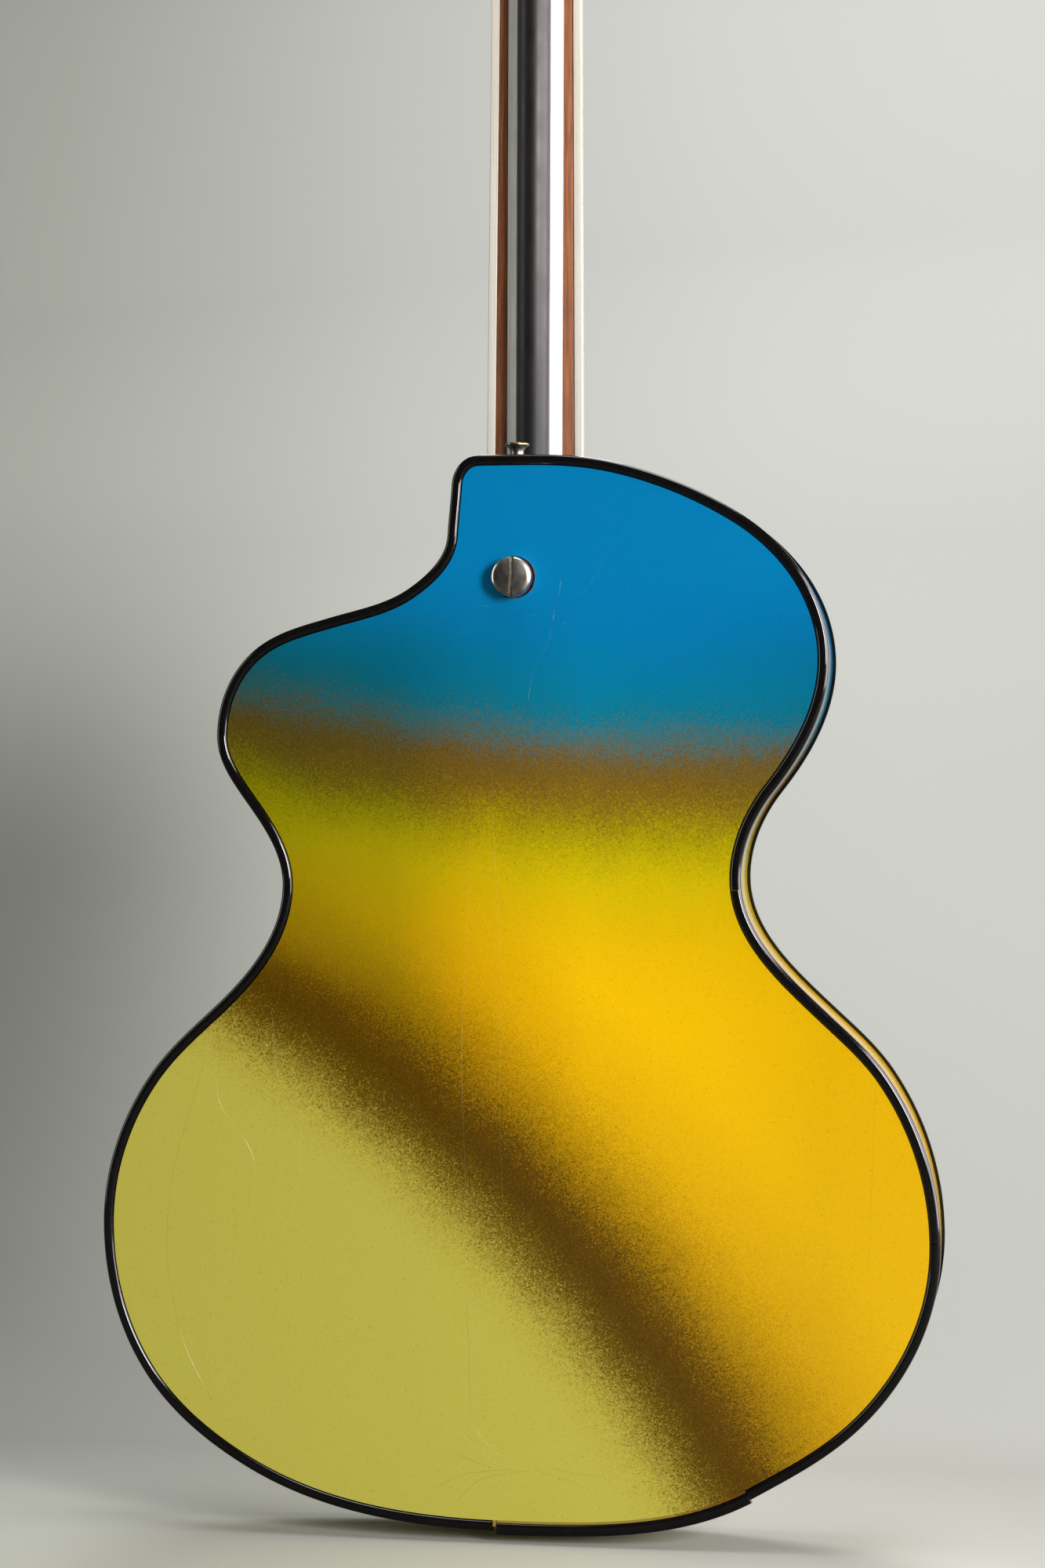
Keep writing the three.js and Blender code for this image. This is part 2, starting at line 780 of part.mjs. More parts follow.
// Tuners: a strip of bearing lugs on each side, and for each string a worm with its button and a
// post with its gear
function makeTuners() {
  const plateFront = headThickness + gap;
  const plateBack = plateFront + tunerPlateThickness;
  [['bass', -1], ['treble', 1]].forEach(([name, side]) => {
    const strings = stringRadii.map((_, i) => i).filter(i => sideOf(i) === side);
    const low = firstPost - tunerPlateMargin;
    const high = firstPost + postSpacing * (postsPerSide - 1) + tunerPlateMargin + wormOffset;
    const left = side * postAcross - tunerPlateWidth / 2;
    const right = side * postAcross + tunerPlateWidth / 2;
    const plate = block(point(left, plateFront, low), point(right, plateBack, high));
    const lugs = strings.flatMap(i => [-1, 1].map(end => {
      const middle = postX(i) + end * (wormLength + lugThickness + gap * 2) / 2;
      const z = postZ(i) + wormOffset;
      return block(
        point(middle - lugThickness / 2, plateFront, z - lugLength / 2),
        point(middle + lugThickness / 2, plateBack + lugHeight, z + lugLength / 2),
      );
    }));
    const bores = strings.map(i => rod(
      point(postX(i) - tunerPlateWidth, wormMiddle, postZ(i) + wormOffset),
      point(postX(i) + tunerPlateWidth, wormMiddle, postZ(i) + wormOffset),
      boreFor(shaftRadius, smallSides), smallSides,
    ));
    const holes = strings.map(i => bore(postX(i), postZ(i), 0, plateBack + overrun, postRadius));
    place(head, `tuner_plate_${name}`, cut(join([plate, ...lugs]), [...holes, ...bores]), nickel());
  });

  stringRadii.forEach((_, i) => {
    const side = sideOf(i);
    const inner = -side * (wormLength / 2 + lugThickness + gap * 2);
    const edge = side * (headHalfWidth + buttonClearance) - postX(i);
    const worm = rod(
      point(-wormLength / 2, 0, 0), point(wormLength / 2, 0, 0), wormRadius, smallSides);
    const gripMiddle = edge + side * buttonLength / 2;
    const shaft = rod(point(inner, 0, 0), point(gripMiddle, 0, 0), shaftRadius, smallSides);
    const grip = new THREE.SphereGeometry(1 / 2, smallSides, wireSides);
    grip.scale(buttonLength, buttonThickness, buttonWidth);
    grip.translate(gripMiddle, 0, 0);
    place(head, `tuner_button_${i + 1}`, join([worm, shaft, solid(grip)]), ivoryPlastic(),
      postX(i), wormMiddle, postZ(i) + wormOffset);
  });

  stringRadii.forEach((_, i) => {
    const teeth = Array.from({ length: gearTeeth * 2 }, (_, step) => {
      const radius = step % 2 ? gearRadius : gearRadius - toothDepth;
      const angle = (step / gearTeeth) * Math.PI;
      return [radius * Math.cos(angle), radius * Math.sin(angle)];
    });
    const gear = slab(shapeOf(teeth), gearFront, gearFront + gearThickness);
    const post = peg(0, 0, -postReach, gearFront + gearThickness, postRadius, smallSides);
    place(head, `string_post_${i + 1}`, join([gear, post]), nickel(), postX(i), 0, postZ(i));
  });
}

// Each string runs from its ball end through the tailpiece, over the saddle and the nut, to a
// few turns round its post
function makeStrings() {
  head.updateMatrix();
  const tailY = boardLift - tailpieceStandoff - tailpieceThickness / 2;
  const tailZ = -scaleLength - tailpieceSetback;
  stringRadii.forEach((radius, i) => {
    const bridgeX = stringAcross(i, bridgeSpread);
    const nutX = stringAcross(i, nutSpread);
    const ballZ = tailZ - tailpieceWidth / 2 - gap;
    const windY = -veneerThickness - postReach / 2;
    const windRadius = boreFor(postRadius, smallSides) + radius;
    const tangent = point(postX(i) - sideOf(i) * windRadius, windY, postZ(i)).applyMatrix4(head.matrix);
    const route = [
      point(bridgeX, tailY, ballZ - ballRadius),
      point(bridgeX, tailY, tailZ + tailpieceWidth / 2 + gap),
      point(bridgeX, -bridgeStringHeight - radius, -scaleLength - saddleWidth / 2),
      point(nutX, -nutStringFloor - radius, nutThickness),
      tangent,
    ];
    const runs = route.slice(1).map((end, k) => rod(route[k], end, radius, wireSides));
    const ballEnd = point(bridgeX, tailY, ballZ - ballRadius * 2);
    const ball = rod(ballEnd, point(bridgeX, tailY, ballZ), ballRadius, smallSides);
    const coilHeight = radius * windingTurns * 2;
    const coil = turned([
      [windRadius - radius, -coilHeight / 2],
      [windRadius + radius, -coilHeight / 2],
      [windRadius + radius, coilHeight / 2],
      [windRadius - radius, coilHeight / 2],
      [windRadius - radius, -coilHeight / 2],
    ], smallSides);
    coil.rotateX(Math.PI / 2);
    coil.translate(postX(i), windY, postZ(i));
    coil.applyMatrix4(head.matrix);
    const string = join([...runs, ball, solid(coil)]);
    place(guitar, `string_${i + 1}`, string, steel());
  });
}

// Bridge: wooden base with two threaded studs, thumbwheels and a slotted metal saddle
function makeBridge() {
  const half = bridgeBaseLength / 2;
  const floor = -gap;
  const crown = -bridgeBaseHeight - gap;
  const base = beam(shapeOf([
    [-half, floor],
    [-half, (floor + crown) / 2],
    [-saddleLength / 2, crown],
    [saddleLength / 2, crown],
    [half, (floor + crown) / 2],
    [half, floor],
    [half - bridgeFootLength, floor],
    [half - bridgeFootLength - bridgeArch, floor - bridgeArch],
    [bridgeFootLength + bridgeArch - half, floor - bridgeArch],
    [bridgeFootLength - half, floor],
  ]), -bridgeBaseWidth / 2, bridgeBaseWidth / 2);
  const wheelBack = crown - thumbwheelTravel;
  const wheelFront = wheelBack - thumbwheelThickness;
  const saddleBack = wheelFront - gap;
  const studEnd = saddleBack - bridgeStudReach;
  const studs = [-1, 1].map(side =>
    peg(side * bridgeStudAcross, 0, studEnd, floor - bridgeArch, bridgeStudRadius, smallSides));
  place(body, 'bridge_base', join([base, ...studs]), rosewood(), 0, 0, -bridgeDown);

  [['bass', -1], ['treble', 1]].forEach(([name, side]) => {
    const wheel = cut(peg(0, 0, wheelFront, wheelBack, thumbwheelRadius), [
      bore(0, 0, wheelFront - overrun, wheelBack + overrun, bridgeStudRadius),
    ]);
    place(body, `thumbwheel_${name}`, wheel, nickel(), side * bridgeStudAcross, 0, -bridgeDown);
  });

  const saddleFront = -boardLift - bridgeStringHeight - saddleCrown / 2;
  const saddleEnd = saddleFront + saddleCrown;
  const saddle = beam(shapeOf([
    [-saddleLength / 2, saddleBack],
    [-saddleLength / 2, saddleEnd],
    [-bridgeSpread / 2 - saddleWidth, saddleFront],
    [bridgeSpread / 2 + saddleWidth, saddleFront],
    [saddleLength / 2, saddleEnd],
    [saddleLength / 2, saddleBack],
  ]), -saddleWidth / 2, saddleWidth / 2);
  const wells = [-1, 1].map(side => bore(
    side * bridgeStudAcross, 0, studEnd - thumbwheelTravel, saddleBack + overrun, bridgeStudRadius));
  const slots = stringRadii.map((radius, i) => {
    const x = stringAcross(i, bridgeSpread);
    return block(
      point(x - radius - gap, saddleFront - overrun, -saddleWidth),
      point(x + radius + gap, -boardLift - bridgeStringHeight + gap, saddleWidth),
    );
  });
  place(body, 'bridge_saddle', cut(saddle, [...wells, ...slots]), nickel(), 0, 0, -bridgeDown);
}

// Tailpiece: a bar held by two studs in the centre block, with a hole for each string
function makeTailpiece() {
  const back = -tailpieceStandoff;
  const front = back - tailpieceThickness;
  const shape = roundedRectangle(0, 0, tailpieceLength, tailpieceWidth, tailpieceWidth / 2);
  const studBores = tailStuds.map(x => bore(x, 0, front - overrun, back + overrun, tailStudRadius));
  const stringBores = stringRadii.map((_, i) => {
    const x = stringAcross(i, bridgeSpread);
    const middle = (front + back) / 2;
    const start = point(x, middle, -tailpieceWidth);
    return rod(start, point(x, middle, tailpieceWidth), stringHoleRadius, smallSides);
  });
  const bar = cut(slab(shape, front, back, tailpieceRound), [...studBores, ...stringBores]);
  place(body, 'tailpiece', bar, nickel(), 0, 0, -tailpieceDown);
  [['bass', -tailStudAcross], ['treble', tailStudAcross]].forEach(([name, x]) => {
    const headFront = front - gap - tailStudHeadHeight;
    const stud = join([
      peg(0, 0, headFront, front - gap, tailStudHeadRadius),
      peg(0, 0, headFront, tailStudReach, tailStudRadius, smallSides),
    ]);
    const slot = block(
      point(-tailStudHeadRadius, headFront - overrun, -screwSlotWidth / 2),
      point(tailStudHeadRadius, headFront + tailStudHeadHeight / 2, screwSlotWidth / 2),
    );
    place(body, `tailpiece_stud_${name}`, cut(stud, [slot]), nickel(), x, 0, -tailpieceDown);
  });
}

// Pickups, each in a raised ring
function makePickups() {
  [['neck', neckPickupDown], ['bridge', bridgePickupDown]].forEach(([name, down]) => {
    const outside = roundedRectangle(0, 0, ringLength, ringWidth, ringCorner);
    const opening = slab(pickupWindow(0), -ringHeight - overrun, overrun);
    const ring = cut(slab(outside, -ringHeight - gap, -gap, ringRound), [opening]);
    place(body, `pickup_ring_${name}`, ring, ivoryPlastic(), 0, 0, -down);
    const cover = roundedRectangle(0, 0, pickupLength, pickupWidth, pickupCorner);
    place(body, `pickup_${name}`, slab(cover, -pickupRise, pickupSink, pickupRound), nickel(), 0, 0, -down);
  });
}

// Controls: two pots with knobs, a selector switch and the jack socket
function makeControls() {
  [['volume', volumeAcross, volumeDown], ['tone', toneAcross, toneDown]].forEach(([name, across, down]) => {
    const pot = join([
      peg(0, 0, plateThickness + gap, plateThickness + potDepth, potRadius),
      peg(0, 0, -potBushReach, plateThickness + potDepth, potBushRadius),
      peg(0, 0, -potShaftReach, plateThickness + potDepth, potShaftRadius, smallSides),
    ]);
    place(body, `${name}_pot`, pot, steel(), across, 0, -down);
    const top = -knobLift - knobHeight;
    const profile = [
      [knobBore, -knobLift],
      [knobRadius, -knobLift],
      [knobRadius, -knobLift - knobSkirt],
      [knobTopRadius, top],
      [0, top],
      [0, -potShaftReach - gap],
      [boreFor(potShaftRadius, smallSides), -potShaftReach - gap],
      [boreFor(potShaftRadius, smallSides), -knobLift - knobBoreDepth],
      [knobBore, -knobLift - knobBoreDepth],
      [knobBore, -knobLift],
    ];
    const knob = turned(profile.map(([radius, height]) => [radius, -height]));
    knob.rotateX(Math.PI / 2);
    place(body, `${name}_knob`, solid(knob), blackPlastic(), across, 0, -down);
  });

  const wellFloor = plateThickness + selectorPivotDepth + leverTail;
  const selector = cut(join([
    block(
      point(-selectorBodyWidth / 2, plateThickness + gap, -selectorBodyLength / 2),
      point(selectorBodyWidth / 2, plateThickness + selectorBodyDepth, selectorBodyLength / 2),
    ),
    peg(0, 0, -selectorBushReach, plateThickness + overrun, selectorBushRadius),
  ]), [peg(0, 0, -selectorBushReach - overrun, wellFloor, selectorWellRadius)]);
  place(body, 'selector_body', selector, steel(), -selectorAcross, 0, -selectorDown);
  const tip = new THREE.SphereGeometry(leverTipRadius, smallSides, wireSides);
  tip.translate(0, -leverReach, 0);
  const ball = new THREE.SphereGeometry(leverBallRadius, smallSides, wireSides);
  ball.translate(0, selectorPivotDepth, 0);
  const lever = join([
    peg(0, 0, -leverReach, selectorPivotDepth + leverTail, leverRadius, smallSides),
    solid(tip),
    solid(ball),
  ]);
  place(body, 'selector_lever', lever, ivoryPlastic(), -selectorAcross, 0, -selectorDown);

  const socket = cut(join([
    peg(0, 0, -gap - jackFlangeHeight, -gap, jackFlangeRadius),
    peg(0, 0, -gap - jackFlangeHeight, plateThickness + overrun, jackNeckRadius),
    peg(0, 0, plateThickness + gap, jackBodyDepth, jackBodyRadius),
  ]), [peg(0, 0, -jackFlangeHeight - overrun, jackBoreDepth, jackBoreRadius)]);
  place(body, 'jack_socket', socket, nickel(), jackAcross, 0, -jackDown);
}

// Neck tilt: a slotted screw in a bush bears on the heel, which turns on a cross pin
function makeTilt() {
  const front = heelDepth + screwTipGap;
  const seat = rimBack + gap;
  const top = bodyDepth + screwStand;
  const slot = blockGeometry(
    point(-screwHeadRadius - overrun, top - screwSlotDepth, -screwSlotWidth / 2),
    point(screwHeadRadius + overrun, top + overrun, screwSlotWidth / 2),
  );
  slot.rotateY(Math.PI / 2 - screwSlotLean);
  const screw = cut(join([
    peg(0, 0, seat, top, screwHeadRadius),
    peg(0, 0, front, top - screwSlotDepth, screwRadius, smallSides),
  ]), [solid(slot)]);
  place(body, 'tilt_screw', screw, nickel(), 0, 0, -screwDown);
  const bush = cut(peg(0, 0, rimBack - bushLength, rimBack, bushRadius), [
    bore(0, 0, pocketDepth - overrun, bodyDepth, screwRadius),
  ]);
  place(body, 'tilt_bush', bush, brass(), 0, 0, -screwDown);
  const pin = rod(
    point(-pivotHalfLength, 0, 0), point(pivotHalfLength, 0, 0), pivotRadius, smallSides);
  place(body, 'pivot_pin', pin, steel(), 0, pivotDepth, -pivotDown);
}

// Strap button on the heel and end pin at the tail, drawn as heights from the rim
function makeStrapPins() {
  const rimClear = gap - rimOuterInset;
  const button = turned([
    [0, -strapScrewReach],
    [strapScrewRadius, -strapScrewReach],
    [strapScrewRadius, 0],
    [strapWaistRadius, 0],
    [strapWaistRadius, strapHeight / 3],
    [strapFlangeRadius - strapFlangeThickness / 2, strapHeight - strapFlangeThickness],
    [strapFlangeRadius, strapHeight - strapFlangeThickness / 2],
    [strapFlangeRadius - strapFlangeThickness / 2, strapHeight],
    [0, strapHeight],
  ]);
  place(body, 'heel_strap_button', solid(button), brass(), 0, bodyDepth - buttonSetback, rimClear);
  const pin = turned([
    [0, -strapScrewReach],
    [strapScrewRadius, -strapScrewReach],
    [strapScrewRadius, 0],
    [endPinRadius - strapFlangeThickness, 0],
    [strapWaistRadius, endPinHeight / 2],
    [endPinRadius, endPinHeight - strapFlangeThickness],
    [endPinRadius - strapFlangeThickness / 2, endPinHeight],
    [0, endPinHeight],
  ]);
  pin.rotateX(Math.PI);
  place(body, 'end_pin', solid(pin), copper(), 0, bodyDepth / 2, -bodyLength - rimClear);
}

makeShell();
makeEdgeStrips();
makeNeck();
makeHeadstock();
makeTuners();
makeStrings();
makeBridge();
makeTailpiece();
makePickups();
makeControls();
makeTilt();
makeStrapPins();

export default guitar;
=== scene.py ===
import math

import bmesh
import bpy
from bpy.props import FloatProperty, FloatVectorProperty, IntProperty, PointerProperty
from mathutils import Matrix, Vector


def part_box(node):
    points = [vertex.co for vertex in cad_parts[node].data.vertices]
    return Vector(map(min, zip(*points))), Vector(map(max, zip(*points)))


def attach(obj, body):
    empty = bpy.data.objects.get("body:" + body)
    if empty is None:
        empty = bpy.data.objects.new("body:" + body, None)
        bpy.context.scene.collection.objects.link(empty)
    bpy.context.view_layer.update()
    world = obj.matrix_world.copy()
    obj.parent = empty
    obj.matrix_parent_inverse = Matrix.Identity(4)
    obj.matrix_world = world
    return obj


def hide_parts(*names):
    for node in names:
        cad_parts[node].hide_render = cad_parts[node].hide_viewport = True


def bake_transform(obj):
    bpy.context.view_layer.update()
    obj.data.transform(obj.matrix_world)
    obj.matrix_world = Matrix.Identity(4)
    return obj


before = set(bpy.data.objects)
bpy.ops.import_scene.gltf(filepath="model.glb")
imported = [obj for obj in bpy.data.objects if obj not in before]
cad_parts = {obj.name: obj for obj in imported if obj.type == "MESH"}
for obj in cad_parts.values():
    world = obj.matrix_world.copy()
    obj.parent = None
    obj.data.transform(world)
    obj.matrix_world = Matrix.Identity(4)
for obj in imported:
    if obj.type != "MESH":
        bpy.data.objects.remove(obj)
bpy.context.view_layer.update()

bl_info = {
    "name": "Semi-hollow guitar",
    "version": (1, 0, 0),
    "blender": (4, 5, 0),
    "location": "3D View > Sidebar > Guitar",
    "description": "Dresses the packed frame of a semi-hollow electric guitar with a tilting aluminium neck",
    "category": "Add Mesh",
}

MM = 0.001


def linear(code):
    """An sRGB hex value as a linear colour with alpha."""
    parts = [int(code[i:i + 2], 16) / 255 for i in (1, 3, 5)]
    return (*[p / 12.92 if p <= 0.04045 else ((p + 0.055) / 1.055) ** 2.4 for p in parts], 1)


# Sizes and colours

def length(name, text, millimetres):
    return FloatProperty(name=name, description=text, default=millimetres * MM, subtype="DISTANCE", unit="LENGTH")


def colour(name, text, code):
    return FloatVectorProperty(name=name, description=text, default=linear(code)[:3], size=3, subtype="COLOR", min=0, max=1)


class BodySizes(bpy.types.PropertyGroup):
    """Sizes of the body."""
    length: length("Body length", "From the upper edge to the lower edge", 513.5)
    half_width: length("Half width", "Half the width that the outline's shares refer to", 202)
    strip_width: length("Strip width", "Width of the edge strips", 5)
    strip_round: length("Strip rounding", "Radius of the edge strips' outer edges", 1.9)
    outline_step: length("Outline step", "Distance between points of the outline", 2.5)
    plate_inset: length("Plate inset", "From the outline to the edge of a plate", 5.3)
    screw_head: length("Screw head radius", "Radius of the tilt screw's head", 9.6)
    screw_hole: length("Screw hole radius", "Radius of the hole for the tilt screw", 10.2)


class NeckSizes(bpy.types.PropertyGroup):
    """Sizes of the neck."""
    scale_length: length("Scale length", "From the nut to the saddle", 640)
    fret_radius: length("Fret radius", "Radius of a fret's crown", 1.4)
    fret_count: IntProperty(name="Frets", description="Number of frets", default=21, min=12, max=24)
    dot_radius: length("Dot radius", "Radius of a position dot", 3.2)
    cover_half_width: length("Cover half width", "Half the width of the back cover", 8)
    cover_height: length("Cover height", "How far the back cover stands off the channel", 8.2)


class FinishColours(bpy.types.PropertyGroup):
    """Colours of the finishes."""
    blue: colour("Blue", "Blue field of the sprayed finish", "#0079b2")
    gold_brown: colour("Gold brown", "Soft band under the blue field", "#74591f")
    yellow: colour("Yellow", "Yellow field of the sprayed finish", "#fac401")
    dark_brown: colour("Dark brown", "Diagonal band of the sprayed finish", "#4e3500")
    pale_green: colour("Pale green", "Yellow-green field of the sprayed finish", "#b9b04a")
    ivory: colour("Ivory", "Bindings, nut, rings and buttons", "#e2dbcf")
    black: colour("Black", "Edge strips", "#0b0a0a")


# Mesh helpers

def new_object(name, mesh, materials, body, replaced=()):
    piece = bpy.data.objects.new(name, mesh)
    bpy.context.scene.collection.objects.link(piece)
    for material in materials:
        mesh.materials.append(material)
    if body:
        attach(piece, body)
    if replaced:
        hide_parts(*replaced)
    return piece


def piece_from(bm, name, materials, body, replaced=(), smooth=35):
    """A finished piece from a bmesh in metres: closed, facing outwards, smooth but for its sharp edges."""
    bmesh.ops.remove_doubles(bm, verts=bm.verts[:], dist=1e-6)
    bmesh.ops.recalc_face_normals(bm, faces=bm.faces[:])
    mesh = bpy.data.meshes.new(name)
    bm.to_mesh(mesh)
    bm.free()
    mesh.shade_smooth()
    mesh.set_sharp_from_angle(angle=math.radians(smooth))
    return new_object(name, mesh, materials, body, replaced)


def chain(bm, points, closed=True):
    """Vertices through the points, joined by edges."""
    verts = [bm.verts.new(p) for p in points]
    edges = [bm.edges.new((a, b)) for a, b in zip(verts, verts[1:])]
    if closed:
        edges.append(bm.edges.new((verts[-1], verts[0])))
    return verts, edges


def extrude(bm, faces, offset):
    """Gives flat faces a thickness and returns the new vertices."""
    made = bmesh.ops.extrude_face_region(bm, geom=faces, use_keep_orig=True)["geom"]
    verts = [v for v in made if isinstance(v, bmesh.types.BMVert)]
    bmesh.ops.translate(bm, verts=verts, vec=offset)
    return verts


def bevel(bm, edges, width, segments=2):
    if edges:
        bmesh.ops.bevel(bm, geom=list(edges), offset=width, offset_type="OFFSET", segments=segments,
                        profile=0.5, affect="EDGES", clamp_overlap=True, material=-1)


def sharp_edges(bm, degrees=30, where=lambda edge: True):
    limit = math.radians(degrees)
    return [e for e in bm.edges if e.is_manifold and e.calc_face_angle(0) > limit and where(e)]


def slab(loops, front, back, edge=0, segments=2, where=lambda edge: True):
    """A plate with any holes, from loops of (x, z), between two depths."""
    bm = bmesh.new()
    for loop in loops:
        chain(bm, [(x, front, z) for x, z in loop])
    bmesh.ops.triangle_fill(bm, use_beauty=True, use_dissolve=False, edges=bm.edges[:], normal=(0, -1, 0))
    extrude(bm, bm.faces[:], (0, back - front, 0))
    bmesh.ops.recalc_face_normals(bm, faces=bm.faces[:])
    if edge:
        bevel(bm, sharp_edges(bm, 60, where), edge, segments)
    return bm


def circle(x, z, radius, steps=48):
    return [(x + radius * math.cos(math.tau * i / steps), z + radius * math.sin(math.tau * i / steps)) for i in range(steps)]


def rounded_rectangle(x, z, width, height, corner, steps=6):
    points = []
    for cx, cz, start in ((1, 1, 0), (-1, 1, 90), (-1, -1, 180), (1, -1, 270)):
        for i in range(steps + 1):
            angle = math.radians(start + 90 * i / steps)
            points.append((x + cx * (width / 2 - corner) + corner * math.cos(angle),
                           z + cz * (height / 2 - corner) + corner * math.sin(angle)))
    return points


def turned(profile, steps=48):
    """A turned shape from pairs of radius and height along +Z, which may start and end on the axis."""
    bm = bmesh.new()
    chain(bm, [(r, 0, h) for r, h in profile], closed=profile[0][0] > 0 and profile[-1][0] > 0)
    bmesh.ops.spin(bm, geom=bm.verts[:] + bm.edges[:], cent=(0, 0, 0), axis=(0, 0, 1), dvec=(0, 0, 0),
                   angle=math.tau, steps=steps, use_merge=True, use_duplicate=False)
    bmesh.ops.remove_doubles(bm, verts=bm.verts[:], dist=1e-7)
    bmesh.ops.recalc_face_normals(bm, faces=bm.faces[:])
    return bm


def aimed(bm, place, direction):
    """Turns a shape's +Z to a direction and moves it to a place."""
    turn = Vector(direction).to_track_quat("Z", "Y").to_matrix().to_4x4()
    bm.transform(Matrix.Translation(place) @ turn)
    return bm


def merged(shapes):
    """Several bmeshes as one."""
    whole = bmesh.new()
    for shape in shapes:
        mesh = bpy.data.meshes.new("part")
        shape.to_mesh(mesh)
        shape.free()
        whole.from_mesh(mesh)
        bpy.data.meshes.remove(mesh)
    return whole


def copy_of(node, width, segments=2, degrees=30, where=lambda edge: True):
    """A merged copy of a CAD node with its flat faces joined and its sharp edges rounded."""
    bm = bmesh.new()
    bm.from_mesh(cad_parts[node].data)
    bmesh.ops.remove_doubles(bm, verts=bm.verts[:], dist=1e-6)
    bmesh.ops.dissolve_limit(bm, angle_limit=math.radians(1), use_dissolve_boundaries=False,
                             verts=bm.verts[:], edges=bm.edges[:], delimit=set())
    bmesh.ops.recalc_face_normals(bm, faces=bm.faces[:])
    bevel(bm, sharp_edges(bm, degrees, where), width, segments)
    return bm


def tube(points, radius, sides=12, smooth=False):
    """A round bar along points, closed at both ends."""
    curve = bpy.data.curves.new("bar", "CURVE")
    curve.dimensions = "3D"
    curve.bevel_depth = radius
    curve.bevel_resolution = max(0, sides // 4 - 1)
    curve.use_fill_caps = True
    spline = curve.splines.new("NURBS" if smooth else "POLY")
    spline.points.add(len(points) - 1)
    for target, point in zip(spline.points, points):
        target.co = (*point, 1)
    if smooth:
        spline.order_u = 3
        spline.use_endpoint_u = True
        spline.resolution_u = 5
    holder = bpy.data.objects.new("bar", curve)
    mesh = bpy.data.meshes.new_from_object(holder)
    bm = bmesh.new()
    bm.from_mesh(mesh)
    bpy.data.objects.remove(holder)
    bpy.data.curves.remove(curve)
    bpy.data.meshes.remove(mesh)
    return bm


def lobes(bm, axis_place, normal, half_slot, floor_place, floor_normal):
    """Cuts a straight slot: the shape under the floor plane, and a lobe on each side of the slot above it."""
    source = bpy.data.meshes.new("head")
    bm.to_mesh(source)
    bm.free()
    parts = []
    floor_normal = Vector(floor_normal)
    normal = Vector(normal)
    cuts = [
        [(floor_place, floor_normal)],
        [(floor_place, -floor_normal), (Vector(axis_place) + normal * half_slot, -normal)],
        [(floor_place, -floor_normal), (Vector(axis_place) - normal * half_slot, normal)],
    ]
    for planes in cuts:
        part = bmesh.new()
        part.from_mesh(source)
        for place, outward in planes:
            geometry = part.verts[:] + part.edges[:] + part.faces[:]
            made = bmesh.ops.bisect_plane(part, geom=geometry, dist=1e-7, plane_co=place, plane_no=outward,
                                          clear_outer=True)
            rim = [e for e in made["geom_cut"] if isinstance(e, bmesh.types.BMEdge)]
            if rim:
                bmesh.ops.contextual_create(part, geom=rim)
        parts.append(part)
    bpy.data.meshes.remove(source)
    return merged(parts)


# The body's outline, seen from the back and clockwise from the tip of the cutaway: share of the half
# width to the right, share of the length, and heading in degrees.
OUTLINE_SHARES = [
    (-0.084, 0, 0), (0.059, 0, -1), (0.237, -0.0076, -13), (0.524, -0.0536, -31), (0.7436, -0.1916, -90),
    (0.6163, -0.312, -128), (0.5396, -0.3922, -90), (0.739, -0.5133, -43), (0.882, -0.5714, -55),
    (1.007, -0.728, -90), (0.8085, -0.8988, -137), (0.5787, -0.96, -150), (0, -1, -180),
    (-0.6475, -0.9466, 150), (-0.871, -0.8729, 127), (-0.994, -0.7205, 90), (-0.879, -0.581, 55),
    (-0.731, -0.52, 42.5), (-0.556, -0.401, 90), (-0.6406, -0.3264, 126), (-0.718, -0.2617, 90),
    (-0.627, -0.181, 40), (-0.44, -0.1503, 16), (-0.25, -0.1233, 35), (-0.159, -0.074, 87),
    (-0.1495, -0.0273, 87),
]
SEAM_SHARES = [(-0.033, -1), (0.54, -0.4), (0.99, -0.724), (0.57, -0.962)]
STRIP_NAMES = ["main", "waist", "bout", "tail"]


def body_top():
    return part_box("front_strip")[1].z


def plane_point(knot):
    sizes = bpy.context.scene.guitar_body
    return Vector((-knot[0] * sizes.half_width, body_top() + knot[1] * sizes.length))


def heading(knot):
    return Vector((-math.cos(math.radians(knot[2])), math.sin(math.radians(knot[2]))))


def outline():
    """Points of the outline, each with its direction along and out."""
    spots = []
    step = bpy.context.scene.guitar_body.outline_step
    for knot, after in zip(OUTLINE_SHARES, OUTLINE_SHARES[1:] + OUTLINE_SHARES[:1]):
        start, end = plane_point(knot), plane_point(after)
        turn = heading(knot).angle(heading(after))
        chord = (end - start).length
        arc = math.tan(turn / 4) * 2 / (3 * math.sin(turn / 2)) if turn > 1e-4 else 1 / 3
        leave = start + heading(knot) * chord * arc
        arrive = end - heading(after) * chord * arc
        count = max(2, math.ceil(chord / step))
        for i in range(count):
            t = i / count
            s = 1 - t
            at = start * s ** 3 + leave * 3 * s * s * t + arrive * 3 * s * t * t + end * t ** 3
            along = (leave - start) * s * s + (arrive - leave) * 2 * s * t + (end - arrive) * t * t
            along.normalize()
            spots.append((at, along, Vector((along.y, -along.x))))
    return spots


def offset_loop(spots, distance):
    return [tuple(at - out * distance) for at, along, out in spots]


